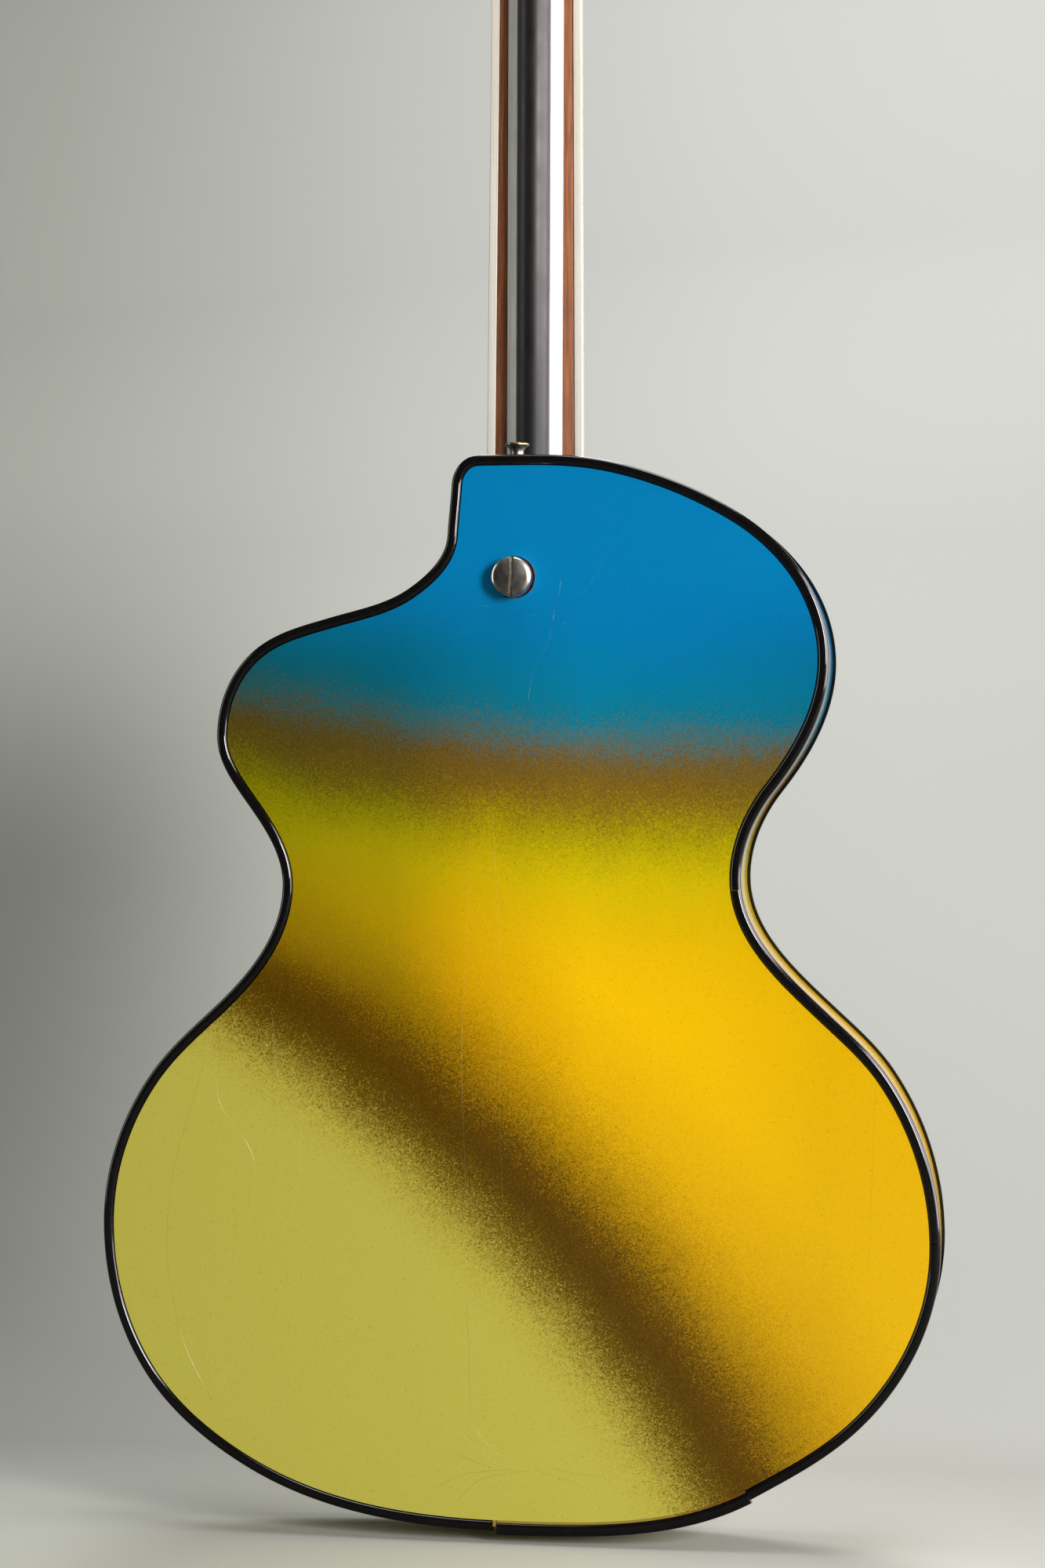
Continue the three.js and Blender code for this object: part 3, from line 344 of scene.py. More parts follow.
def band(outer, inner, front, back, closed, rounding, back_is_outside=True):
    """A strip between two lines of (x, z), with the two edges of its outside face rounded."""
    bm = bmesh.new()
    outside, inside = (back, front) if back_is_outside else (front, back)
    rows = [chain(bm, [(x, outside, z) for x, z in line], closed) for line in (outer, inner)]
    made = bmesh.ops.bridge_loops(bm, edges=rows[0][1] + rows[1][1])
    rows_verts = [set(row[0]) for row in rows]
    extrude(bm, made["faces"], (0, inside - outside, 0))
    bmesh.ops.recalc_face_normals(bm, faces=bm.faces[:])
    rims = [e for e in bm.edges if any(e.verts[0] in row and e.verts[1] in row for row in rows_verts)
            and e.is_manifold and e.calc_face_angle(0) > 1]
    bevel(bm, rims, rounding, 5)
    return bm


# Material helpers

def add(tree, kind, inputs=None, stops=None, points=None, **settings):
    """Adds a node with its settings, its values and its links."""
    node = tree.nodes.new(kind)
    for name, value in settings.items():
        setattr(node, name, value)
    for key, value in (inputs or {}).items():
        if isinstance(value, bpy.types.NodeSocket):
            tree.links.new(value, node.inputs[key])
        else:
            node.inputs[key].default_value = value
    if stops:
        ramp = node.color_ramp
        while len(ramp.elements) > 1:
            ramp.elements.remove(ramp.elements[-1])
        for i, (position, value) in enumerate(stops):
            element = ramp.elements[0] if i == 0 else ramp.elements.new(position)
            element.position = position
            element.color = value
    if points:
        curve = node.mapping.curves[0]
        for i, (x, y) in enumerate(points):
            if i < 2:
                curve.points[i].location = (x, y)
            else:
                curve.points.new(x, y)
        node.mapping.update()
    return node


def blank(name):
    """A new material with its shader, and its object coordinates in millimetres."""
    material = bpy.data.materials.new(name)
    material.use_nodes = True
    tree = material.node_tree
    tree.nodes.clear()
    shader = add(tree, "ShaderNodeBsdfPrincipled")
    add(tree, "ShaderNodeOutputMaterial", {"Surface": shader.outputs["BSDF"]})
    place = add(tree, "ShaderNodeTexCoord")
    scaled = add(tree, "ShaderNodeMapping", {"Vector": place.outputs["Object"], "Scale": (1 / MM,) * 3})
    return material, tree, shader, scaled.outputs["Vector"]


def grey(value):
    return (value, value, value, 1)


def spread(low, high, values):
    """Ramp stops from pairs of a value between low and high and its colour."""
    def solid(c):
        return linear(c) if isinstance(c, str) else grey(c) if isinstance(c, float) else (*c, 1)
    return [((v - low) / (high - low), solid(c)) for v, c in values]


def math_node(tree, operation, *values, clamp=False):
    return add(tree, "ShaderNodeMath", dict(enumerate(values)), operation=operation, use_clamp=clamp).outputs[0]


def named(name, make):
    return bpy.data.materials.get(name) or make(name)


def share_between(tree, value, start, end, smooth=True):
    """0 before start, 1 after end."""
    return add(tree, "ShaderNodeMapRange", {"Value": value, "From Min": start, "From Max": end},
               interpolation_type="SMOOTHSTEP" if smooth else "LINEAR").outputs["Result"]


def blended(tree, share, first, second, kind="MIX"):
    return add(tree, "ShaderNodeMix", {0: share, 6: first, 7: second}, data_type="RGBA", blend_type=kind).outputs[2]


def sprayed_lacquer(name, cast=None):
    """Nitrocellulose lacquer sprayed in fields and bands from a gun: the fields run into each other through
    droplets, the top coat has shrunk a little and shows orange peel. Droplets of 0.3 mm are drawn at 0.55 mm."""
    material, tree, shader, mm = blank(name)
    colours = bpy.context.scene.guitar_finish
    lowered = add(tree, "ShaderNodeMapping", {"Vector": mm, "Location": (0, 0, -body_top() / MM)}).outputs["Vector"]
    across, depth, up = add(tree, "ShaderNodeSeparateXYZ", {"Vector": lowered}).outputs

    # Each droplet has its own three random numbers; drifts are soft clouds 25 mm across
    droplets = add(tree, "ShaderNodeTexVoronoi", {"Vector": lowered, "Scale": 1.9})
    first, second, third = add(tree, "ShaderNodeSeparateColor", {"Color": droplets.outputs["Color"]}).outputs
    lot = math_node(tree, "MULTIPLY_ADD", first, 2, -1)
    far = math_node(tree, "MULTIPLY", math_node(tree, "MULTIPLY", lot, lot), lot)
    cloud = add(tree, "ShaderNodeTexNoise", {"Vector": lowered, "Scale": 0.035, "Detail": 2}).outputs["Fac"]
    drift = math_node(tree, "MULTIPLY_ADD", cloud, 14, -7)

    # Distance below the lower limit of the blue field
    square = math_node(tree, "MULTIPLY", across, across)
    limit = math_node(tree, "MULTIPLY_ADD", across, 0.0943, math_node(tree, "MULTIPLY_ADD", square, 0.000549, -131.15))
    below = math_node(tree, "ADD", math_node(tree, "SUBTRACT", limit, up), drift)
    below = math_node(tree, "MULTIPLY_ADD", far, 9, math_node(tree, "MULTIPLY_ADD", lot, 3, below))
    upper = add(tree, "ShaderNodeValToRGB", {"Fac": share_between(tree, below, -60, 100, False)}, stops=spread(-60, 100, [
        (-50, colours.blue), (-22, "#017ba1"), (-8, "#0f7790"), (3, "#4f6c6a"), (14, colours.gold_brown), (29, "#7f6418"),
        (41, "#98840c"), (51, "#b1a103"), (69, "#ceb902"), (100, "#d8b302")])).outputs["Color"]

    # Distance from the middle of the diagonal band, towards the yellow field
    lean = math.radians(49)
    run = math_node(tree, "MULTIPLY_ADD", across, -math.cos(lean), math_node(tree, "MULTIPLY", up, -math.sin(lean)))
    rise = math_node(tree, "MULTIPLY_ADD", across, -math.sin(lean), math_node(tree, "MULTIPLY", up, math.cos(lean)))
    bend = math_node(tree, "MULTIPLY_ADD", math_node(tree, "MULTIPLY", run, run), -0.000737465,
                     math_node(tree, "MULTIPLY_ADD", run, 0.472565, -301.3))
    beyond = math_node(tree, "MULTIPLY_ADD", drift, 0.6, math_node(tree, "SUBTRACT", rise, bend))
    beyond = math_node(tree, "MULTIPLY_ADD", far, 11, math_node(tree, "MULTIPLY_ADD", lot, 3, beyond))
    lower = add(tree, "ShaderNodeValToRGB", {"Fac": share_between(tree, beyond, -60, 110, False)}, stops=spread(-60, 110, [
        (-56, colours.pale_green), (-38, "#b2a63f"), (-27, "#93812a"), (-15, "#634b06"), (0, colours.dark_brown), (14, "#624501"),
        (36, "#b28801"), (60, "#e4af01"), (100, colours.yellow)])).outputs["Color"]
    field = blended(tree, share_between(tree, below, 46, 140), upper, lower)

    # Brown overspray darkens the side with the cutaway between the two bands; towards the other edge the paint is
    # darkened as well, a painted shade where the light falls off
    overspray_and_shade = add(tree, "ShaderNodeValToRGB", {"Fac": share_between(tree, across, -150, 150, False)}, stops=spread(-150, 150, [
        (-150, 0.74), (-100, 0.87), (-36, 0.97), (20, (0.83, 0.79, 0.76)), (58, (0.55, 0.6, 0.55)), (130, (0.44, 0.5, 0.44))])).outputs["Color"]
    weight = math_node(tree, "MULTIPLY", share_between(tree, beyond, 2, 45), share_between(tree, up, -45, -105))
    field = blended(tree, weight, field, overspray_and_shade, "MULTIPLY")

    # Droplets of the bands differ in brightness; a few stray ones lie on the plain fields
    upper_band = math_node(tree, "MULTIPLY", share_between(tree, below, -6, 8), share_between(tree, below, 62, 30))
    lower_band = math_node(tree, "MULTIPLY", share_between(tree, beyond, -30, -12), share_between(tree, beyond, 50, 16))
    bands = math_node(tree, "MAXIMUM", upper_band, lower_band)
    swing = math_node(tree, "MULTIPLY_ADD", bands, 0.34, 0.08)
    glint = math_node(tree, "MULTIPLY_ADD", math_node(tree, "SUBTRACT", second, 0.5), swing, 1)
    grained = blended(tree, 1.0, field, add(tree, "ShaderNodeCombineColor", {0: glint, 1: glint, 2: glint}).outputs[0], "MULTIPLY")
    stray = math_node(tree, "MULTIPLY", math_node(tree, "GREATER_THAN", third, 0.993), 0.3)
    painted = blended(tree, stray, grained, linear("#4d4a1c"))
    # A cast tints the whole finish: a painted highlight on the pale crack edges, a darker tint on the dark ones,
    # red-brown under-coat on the drawn-back lacquer
    if cast:
        painted = blended(tree, cast[1], painted, linear(cast[0]))

    # Chipped edge of the screw hole, where the wood shows
    on_back = math_node(tree, "GREATER_THAN", depth, 60)
    flat = add(tree, "ShaderNodeCombineXYZ", {"X": across, "Z": up}).outputs["Vector"]
    away = add(tree, "ShaderNodeVectorMath", {0: flat, 1: (-0.75, 0, -58.55)}, operation="DISTANCE").outputs["Value"]
    ragged = add(tree, "ShaderNodeTexNoise", {"Vector": lowered, "Scale": 0.35, "Detail": 3}).outputs["Fac"]
    chip = math_node(tree, "MULTIPLY", math_node(tree, "LESS_THAN", away, math_node(tree, "MULTIPLY_ADD", ragged, 1.3, 9.2)), on_back)
    tree.links.new(blended(tree, chip, painted, linear("#6e3416")), shader.inputs["Base Color"])

    polish = add(tree, "ShaderNodeTexNoise", {"Vector": lowered, "Scale": 0.06, "Detail": 4}).outputs["Fac"]
    rough = add(tree, "ShaderNodeMapRange", {"Value": polish, "From Min": 0.3, "From Max": 0.7, "To Min": 0.12, "To Max": 0.18}).outputs["Result"]
    tree.links.new(math_node(tree, "MULTIPLY_ADD", chip, 0.5, rough), shader.inputs["Roughness"])
    peel = add(tree, "ShaderNodeTexNoise", {"Vector": lowered, "Scale": 0.5, "Detail": 2}).outputs["Fac"]
    height = math_node(tree, "MULTIPLY_ADD", chip, -0.4, math_node(tree, "MULTIPLY", peel, 0.02))
    bump = add(tree, "ShaderNodeBump", {"Height": height, "Strength": 0.5, "Distance": MM})
    tree.links.new(bump.outputs["Normal"], shader.inputs["Normal"])
    return material


def flowing(name, base, dark, light, rough, metallic=0.0, grain=(0.2, 0.2, 0.2), contrast=0.5, bump=0.02, variation=0.08, ior=None):
    """A finish of two or three shades that follow a stretched grain, given in cycles per millimetre."""
    material, tree, shader, mm = blank(name)
    stretched = add(tree, "ShaderNodeMapping", {"Vector": mm, "Scale": grain})
    noise = add(tree, "ShaderNodeTexNoise", {"Vector": stretched.outputs["Vector"], "Scale": 1, "Detail": 4, "Roughness": 0.6})
    spot = 0.5 * (1 - contrast)
    shades = add(tree, "ShaderNodeValToRGB", {"Fac": noise.outputs["Fac"]}, stops=spread(0, 1, [
        (spot + 0.1, dark), (0.5, base), (0.9 - spot, light)]))
    tree.links.new(shades.outputs["Color"], shader.inputs["Base Color"])
    haze = add(tree, "ShaderNodeTexNoise", {"Vector": mm, "Scale": 0.08, "Detail": 3})
    finish = add(tree, "ShaderNodeMapRange", {"Value": haze.outputs["Fac"], "From Min": 0.3, "From Max": 0.7,
                                              "To Min": max(0.02, rough - variation), "To Max": rough + variation})
    tree.links.new(finish.outputs["Result"], shader.inputs["Roughness"])
    relief = add(tree, "ShaderNodeBump", {"Height": math_node(tree, "MULTIPLY", noise.outputs["Fac"], bump), "Strength": 0.6, "Distance": MM})
    tree.links.new(relief.outputs["Normal"], shader.inputs["Normal"])
    shader.inputs["Metallic"].default_value = metallic
    if ior:
        shader.inputs["IOR"].default_value = ior
    return material


def tinted(base, share):
    """A colour made darker or lighter by a share."""
    return tuple(min(1.0, part * share) for part in base)


# Extruded celluloid strip, glued and polished: deep black, mirror-like, with faint handling marks.
def edge_celluloid(name):
    black = tuple(bpy.context.scene.guitar_finish.black)
    return flowing(name, black, tinted(black, 0.8), tinted(black, 1.4), 0.1, grain=(0.3, 0.3, 0.3), bump=0.004, variation=0.04, ior=1.5)


# Moulded plastic cover, satin: it spreads a highlight into a soft grey line.
def satin_plastic(name):
    return flowing(name, "#110e0d", "#0d0b0a", "#171312", 0.47, grain=(1.2, 1.2, 0.4), bump=0.008, variation=0.05, ior=1.5)


# Drawn aluminium, polished once and gone dull: fine lines along the neck and cloudy patches.
def drawn_aluminium(name):
    return flowing(name, "#b9bab6", "#aaaba7", "#c6c7c3", 0.56, metallic=1.0, grain=(1.5, 1.5, 0.02), bump=0.004, variation=0.06)


# Oiled rosewood: brown with darker streaks along the grain and open pores.
def rosewood(name):
    return flowing(name, "#8e5029", "#4f2711", "#b06c38", 0.5, grain=(0.9, 0.9, 0.03), contrast=0.7, bump=0.05, variation=0.08, ior=1.5)


# Grained ivory celluloid: warm white, slightly yellowed, with faint lines.
def ivory_celluloid(name):
    ivory = tuple(bpy.context.scene.guitar_finish.ivory)
    return flowing(name, ivory, tinted(ivory, 0.93), tinted(ivory, 1.03), 0.3, grain=(1.1, 1.1, 0.02), contrast=0.4, bump=0.004, variation=0.08, ior=1.5)


# Nickel plate on brass: bright but warm, with a light haze and fine scratches.
def nickel_plate(name):
    return flowing(name, "#c4bfb4", "#aaa497", "#d5d1c8", 0.2, metallic=1.0, grain=(0.5, 0.5, 0.5), bump=0.006, variation=0.08)


# Nickel plate rubbed thin by screwdrivers: duller, stained, with small scratches.
def worn_nickel(name):
    return flowing(name, "#c6bfb5", "#9c948a", "#dedad2", 0.27, metallic=1.0, grain=(0.25, 0.25, 0.12), contrast=0.6, bump=0.012, variation=0.09)


# Brass that has lost its plate: brown patina with a bare yellow rim.
def aged_brass(name):
    return flowing(name, "#8f7a55", "#5f4f35", "#b9a47c", 0.36, metallic=1.0, grain=(0.5, 0.5, 0.5), contrast=0.8, bump=0.02, variation=0.12)


# Nickel stem of the strap button, tarnished to a warm dark grey.
def tarnished_nickel(name):
    return flowing(name, "#77706a", "#4d4741", "#918a82", 0.38, metallic=1.0, grain=(0.8, 0.8, 0.8), bump=0.01, variation=0.1)


# Copper-plated end pin gone brown.
def brown_copper(name):
    return flowing(name, "#5e3422", "#33201a", "#8a5034", 0.42, metallic=1.0, grain=(0.5, 0.5, 0.5), contrast=0.8, bump=0.02, variation=0.12)


# Machined steel: cool grey with faint turning marks.
def machined_steel(name):
    return flowing(name, "#a9a9a7", "#8e8e88", "#bcbcba", 0.3, metallic=1.0, grain=(1, 1, 1), bump=0.008)


# Nickel silver fret wire, polished by playing.
def fret_wire(name):
    return flowing(name, "#c9c5bb", "#aaa59a", "#dcd9d2", 0.18, metallic=1.0, grain=(0.4, 2, 2), bump=0.004)


# Bare maple, planed: pale with soft bands.
def bare_maple(name):
    return flowing(name, "#c39b66", "#a67c49", "#d9b98a", 0.65, grain=(0.35, 0.35, 0.015), bump=0.03)


# Black lacquer on the headstock, buffed.
def headstock_lacquer(name):
    return flowing(name, "#0f0e0e", "#0b0a0a", "#161514", 0.14, grain=(0.1, 0.1, 0.1), bump=0.01, variation=0.05, ior=1.5)


# Moulded black plastic of the knobs, with worn gloss.
def knob_plastic(name):
    return flowing(name, "#15120f", "#0e0c0b", "#211d19", 0.26, grain=(0.6, 0.6, 0.6), bump=0.01, variation=0.08, ior=1.5)


# Lacquer that has drawn back from the edge strip: a thin red-brown line of under-coat.
def lacquer_edge(name):
    return sprayed_lacquer(name, ("#6b3d14", 0.6))


def string_metal(name):
    """Nickel wire wound tightly round a steel core, drawn at 1.2 mm a turn so that it still shows."""
    material, tree, shader, mm = blank(name)
    rings = add(tree, "ShaderNodeTexWave", {"Vector": mm, "Scale": 0.13, "Distortion": 0.3}, bands_direction="Z")
    shades = add(tree, "ShaderNodeValToRGB", {"Fac": rings.outputs["Fac"]}, stops=[(0.1, linear("#7d7972")), (0.6, linear("#c5c1b8"))])
    tree.links.new(shades.outputs["Color"], shader.inputs["Base Color"])
    relief = add(tree, "ShaderNodeBump", {"Height": rings.outputs["Fac"], "Strength": 0.4, "Distance": 0.1 * MM})
    tree.links.new(relief.outputs["Normal"], shader.inputs["Normal"])
    shader.inputs["Metallic"].default_value = 1.0
    shader.inputs["Roughness"].default_value = 0.3
    return material


# Pieces of the body

def inner_faces(piece, inward):
    """Gives the faces that look into the body bare wood."""
    piece.data.materials.append(named("bare maple", bare_maple))
    for face in piece.data.polygons:
        if inward(face):
            face.material_index = 1


def sound_hole(side):
    """Outline of a sound hole, a long slot between two round eyes."""
    across, down, long = 0.406 * bpy.context.scene.guitar_body.half_width, 268 * MM, 128 * MM
    knots = [Vector((side * (across + x * long), body_top() - down + z * long))
             for x, z in ((0.09, 0.5), (-0.03, 0.36), (0.02, 0), (0.03, -0.36), (-0.09, -0.5))]
    spine = []
    for i in range(len(knots) - 1):
        before, start, end, after = knots[max(0, i - 1)], knots[i], knots[i + 1], knots[min(len(knots) - 1, i + 2)]
        for k in range(12):
            t = k / 12
            spine.append(0.5 * (start * 2 + (end - before) * t + (before * 2 - start * 5 + end * 4 - after) * t * t
                                + (start * 3 - before - end * 3 + after) * t ** 3))
    spine.append(knots[-1])
    left, right = [], []
    for i, spot in enumerate(spine):
        along = (spine[min(i + 1, len(spine) - 1)] - spine[max(i - 1, 0)]).normalized()
        half = 5 * MM * (1 + math.sin(math.pi * i / (len(spine) - 1))) / 2
        out = Vector((along.y, -along.x)) * half
        left.append(spot + out)
        right.append(spot - out)
    radius = 7 * MM
    eyes = [spine[0] + Vector((-side * radius / 2, 0)), spine[-1] + Vector((side * radius / 2, 0))]

    def outside(p):
        return all((p - eye).length > radius * 1.001 for eye in eyes)

    def eye_arc(eye, start, end):
        first = math.atan2(*(start - eye).yx)
        last = math.atan2(*(end - eye).yx)
        turn = (last - first) % math.tau
        if (eye + radius * Vector((math.cos(first + turn / 2), math.sin(first + turn / 2))) - knots[2]).length < (eye - knots[2]).length:
            turn -= math.tau
        count = 28
        return [eye + radius * Vector((math.cos(first + turn * k / count), math.sin(first + turn * k / count))) for k in range(count + 1)]

    left = [p for p in left if outside(p)]
    right = [p for p in right if outside(p)]

    def snapped(eye, p):
        return eye + (p - eye).normalized() * radius

    lower = eye_arc(eyes[1], snapped(eyes[1], left[-1]), snapped(eyes[1], right[-1]))
    upper = eye_arc(eyes[0], snapped(eyes[0], right[0]), snapped(eyes[0], left[0]))
    return [tuple(p) for p in left + lower + right[::-1] + upper]


class GUITAR_OT_plates(bpy.types.Operator):
    """Back and front plates with their openings"""
    bl_idname = "guitar.plates"
    bl_label = "Plates"

    def execute(self, context):
        sizes = context.scene.guitar_body
        edge = offset_loop(outline(), sizes.plate_inset)
        lacquer = named("sprayed lacquer", sprayed_lacquer)
        low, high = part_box("back_plate")
        top = body_top()
        hole = circle(-0.2 * MM, top - 58.6 * MM, sizes.screw_hole, 64)
        bm = slab([edge, hole], low.y, high.y)
        piece = piece_from(bm, "back_plate_panel", [lacquer], "body", ["back_plate"])
        inner_faces(piece, lambda face: face.normal.y < -0.9)

        low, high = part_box("front_plate")
        pickups = [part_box("pickup_neck"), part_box("pickup_bridge")]
        windows = [rounded_rectangle(0, (a.z + b.z) / 2, 71 * MM, 34 * MM, 3 * MM) for a, b in pickups]
        pots = [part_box(n) for n in ("volume_pot", "tone_pot", "jack_socket", "selector_body")]
        rounds = [circle((a.x + b.x) / 2, (a.z + b.z) / 2, r * MM, 40) for (a, b), r in zip(pots, (5.1, 5.1, 5.6, 6.4))]
        studs = [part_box(f"tailpiece_stud_{s}") for s in ("bass", "treble")]
        rounds += [circle((a.x + b.x) / 2, (a.z + b.z) / 2, 3.4 * MM, 24) for a, b in studs]
        pocket = [(x * 13.5 * MM, top - z * MM) for x, z in ((-1, 94), (1, 94), (1, 10.5), (-1, 10.5))]
        bm = slab([edge, *windows, *rounds, pocket, sound_hole(-1), sound_hole(1)], low.y, high.y)
        piece = piece_from(bm, "front_plate_panel", [lacquer], "body", ["front_plate"])
        inner_faces(piece, lambda face: face.normal.y > 0.9 or (abs(face.normal.y) < 0.1 and abs(face.center.x) < 0.1))
        return {"FINISHED"}


# Lifted edges of cracks in the top coat, in mm across and up from the upper edge of the body: pale ones are tinted
# lighter, a painted highlight on edges that catch the light; dark ones are tinted darker.
PALE_CRACKS = [
    [(145, -287), (144.5, -301), (143.5, -312), (136, -322), (130, -329), (126, -337), (125, -345), (127.5, -363),
     (132, -381), (140, -399), (146, -415), (149, -432), (149, -445)],
    [(117, -270), (114.5, -300), (113.5, -330), (113.5, -361), (115, -381), (117.5, -401), (124, -416), (132, -430), (137, -437), (141, -450)],
    [(102.5, -300), (102.5, -328), (103.5, -348), (107, -365), (111.5, -374)],
    [(20, -178), (21.5, -232), (25, -284), (22, -344), (21, -400)],
    [(10, -150), (9, -190), (6, -230), (5, -268), (6, -300), (5, -340), (3, -372)],
    [(24, -458.5), (16.5, -465), (11, -472.5), (4, -478), (-4.5, -481.5), (-14, -481.7)],
    [(28, -464), (20, -471), (13.5, -477), (5, -481), (-2, -483)],
]
DARK_CRACKS = [
    [(-173, -295), (-172, -320), (-171, -350), (-170, -380)],
    [(151, -292), (153, -301), (159.5, -321), (166, -344), (168.7, -364), (169, -382), (167.5, -399), (163, -420.5), (157, -437), (145.5, -456.5)],
    [(21.4, -404), (20.3, -427), (19.6, -446), (19.2, -460)],
    [(32, -475), (24, -477.5), (17, -481), (9.5, -483)],
    [(35, -493), (25.5, -487.5), (15, -485), (-2, -483.5)],
    [(26.5, -501), (20, -493), (13.5, -488), (4, -486), (-9, -483.7)],
    [(-11.5, -483.5), (-22, -486.3), (-30, -488), (-35, -491), (-38.5, -496), (-41.5, -501.5)],
    [(-19, -482), (-29.5, -484.7), (-43, -485.3)],
    [(-23, -60), (-22, -68), (-20, -73), (-19, -81), (-17, -91), (-12, -98.5), (-9.5, -105), (-7.5, -114.5), (-6.5, -125)],
    [(-21.5, -79), (-27, -81.5), (-31, -84.5), (-33.5, -87)],
    [(-19.5, -76), (-8, -77), (4, -76), (14, -72)],
    [(-19.5, -76), (-29, -72), (-38, -62), (-43, -50)],
]


class GUITAR_OT_cracks(bpy.types.Operator):
    """Hairline cracks in the top coat of the back"""
    bl_idname = "guitar.cracks"
    bl_label = "Cracks"

    def execute(self, context):
        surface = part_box("back_plate")[1].y
        # The pale cast is a painted highlight on the crack edges; the dark cast tints the other edges darker
        kinds = (("pale", PALE_CRACKS, ("#f4ecae", 0.12), 0.13, 0.1), ("dark", DARK_CRACKS, ("#2e2c10", 0.36), 0.14, 0.1))
        for kind, lines, cast, radius, sunk in kinds:
            ridges = [tube([(x * MM, surface - sunk * MM, body_top() + z * MM) for x, z in line], radius * MM, 8, smooth=True) for line in lines]
            material = sprayed_lacquer(f"{kind} crack edge", cast)
            piece_from(merged(ridges), f"{kind}_cracks", [material], "body", smooth=60)
        return {"FINISHED"}


class GUITAR_OT_rim(bpy.types.Operator):
    """Side of the body and the block inside it"""
    bl_idname = "guitar.rim"
    bl_label = "Rim"

    def execute(self, context):
        spots = outline()
        low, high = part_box("rim")
        bm = bmesh.new()
        rows = [chain(bm, [(x, low.y, z) for x, z in offset_loop(spots, d * MM)]) for d in (1.5, 7.5)]
        made = bmesh.ops.bridge_loops(bm, edges=rows[0][1] + rows[1][1])
        extrude(bm, made["faces"], (0, high.y - low.y, 0))
        piece = piece_from(bm, "rim_side", [named("sprayed lacquer", sprayed_lacquer)], "body", ["rim"])
        loop = [Vector((at.x, 0, at.y)) for at, along, out in spots]
        outs = [Vector((out.x, 0, out.y)) for at, along, out in spots]

        def inward(face):
            nearest = min(range(0, len(loop), 3), key=lambda i: (loop[i] - Vector((face.center.x, 0, face.center.z))).length_squared)
            return face.normal.dot(outs[nearest]) < -0.5
        inner_faces(piece, inward)
        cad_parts["centre_block"].data.materials.clear()
        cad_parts["centre_block"].data.materials.append(named("bare maple", bare_maple))
        return {"FINISHED"}


class GUITAR_OT_edge_strips(bpy.types.Operator):
    """Black edge strips, four lengths round the back and one round the front"""
    bl_idname = "guitar.edge_strips"
    bl_label = "Edge strips"

    def execute(self, context):
        sizes = context.scene.guitar_body
        spots = outline()
        celluloid = named("black edge celluloid", edge_celluloid)
        places = [plane_point(share) for share in SEAM_SHARES]
        cuts = [min(range(len(spots)), key=lambda i: (spots[i][0] - place).length) for place in places]
        for k, name in enumerate(STRIP_NAMES):
            first, last = cuts[k], cuts[(k + 1) % len(cuts)]
            count = (last - first) % len(spots)
            run = []
            for i in range(count + 1):
                at, along, out = spots[(first + i) % len(spots)]
                wide = {"main": 0, "tail": count}.get(name) == i
                nudge = (1.15 if wide else 0.15) * MM * ((i == 0) - (i == count))
                run.append((at + along * nudge, along, out))
            lowering = 1.6 * MM if name == "tail" else 0
            low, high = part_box(f"back_strip_{name}")
            bm = band(offset_loop(run, -lowering), offset_loop(run, sizes.strip_width - lowering / 2), low.y, high.y, False, sizes.strip_round)
            piece_from(bm, f"edge_strip_{name}", [celluloid], "body", [f"back_strip_{name}"])
            if lowering:
                bm = band(offset_loop(run, sizes.strip_width - lowering / 2 - 0.05 * MM), offset_loop(run, sizes.plate_inset + 0.12 * MM),
                          high.y - 2 * MM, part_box("back_plate")[1].y + 0.05 * MM, False, 0.12 * MM)
                end, along, out = run[-1]
                tip = [(end + along * across * MM, along, out) for across in (0.45, 1.85)]
                tongue = band(offset_loop(tip, 2.2 * MM), offset_loop(tip, sizes.plate_inset), high.y - 2.5 * MM, high.y - 0.6 * MM, False, 0.3 * MM)
                piece_from(merged([bm, tongue]), "lacquer_edge", [named("drawn-back lacquer", lacquer_edge)], "body")
        low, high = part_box("front_strip")
        bm = band(offset_loop(spots, 0), offset_loop(spots, sizes.strip_width), low.y, high.y, True, sizes.strip_round, back_is_outside=False)
        piece_from(bm, "edge_strip_front", [celluloid], "body", ["front_strip"])
        return {"FINISHED"}


# Pieces of the neck

def fret_distance(fret):
    return bpy.context.scene.guitar_neck.scale_length * (1 - 2 ** (-fret / 12))


class GUITAR_OT_neck(bpy.types.Operator):
    """Aluminium channel with its heel, and the plastic cover on its back"""
    bl_idname = "guitar.neck"
    bl_label = "Neck"

    def execute(self, context):
        sizes = context.scene.guitar_neck
        bm = copy_of("neck_channel", 0.7 * MM, 3, 12)
        piece_from(bm, "neck_channel_drawn", [named("drawn aluminium", drawn_aluminium)], "neck", ["neck_channel"], smooth=40)
        low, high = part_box("neck_back_cover")
        bm = bmesh.new()
        steps = 40
        section = [(sizes.cover_half_width * math.cos(math.pi * i / steps), low.y + sizes.cover_height * math.sin(math.pi * i / steps), low.z)
                   for i in range(steps + 1)]
        verts, edges = chain(bm, section)
        bmesh.ops.contextual_create(bm, geom=edges)
        extrude(bm, bm.faces[:], (0, 0, high.z - low.z))
        bmesh.ops.recalc_face_normals(bm, faces=bm.faces[:])
        ends = [e for e in sharp_edges(bm, 60) if abs(e.verts[0].co.z - e.verts[1].co.z) < 1e-6]
        bevel(bm, ends, 0.5 * MM, 2)
        piece_from(bm, "neck_cover", [named("satin black plastic", satin_plastic)], "neck", ["neck_back_cover"])
        return {"FINISHED"}


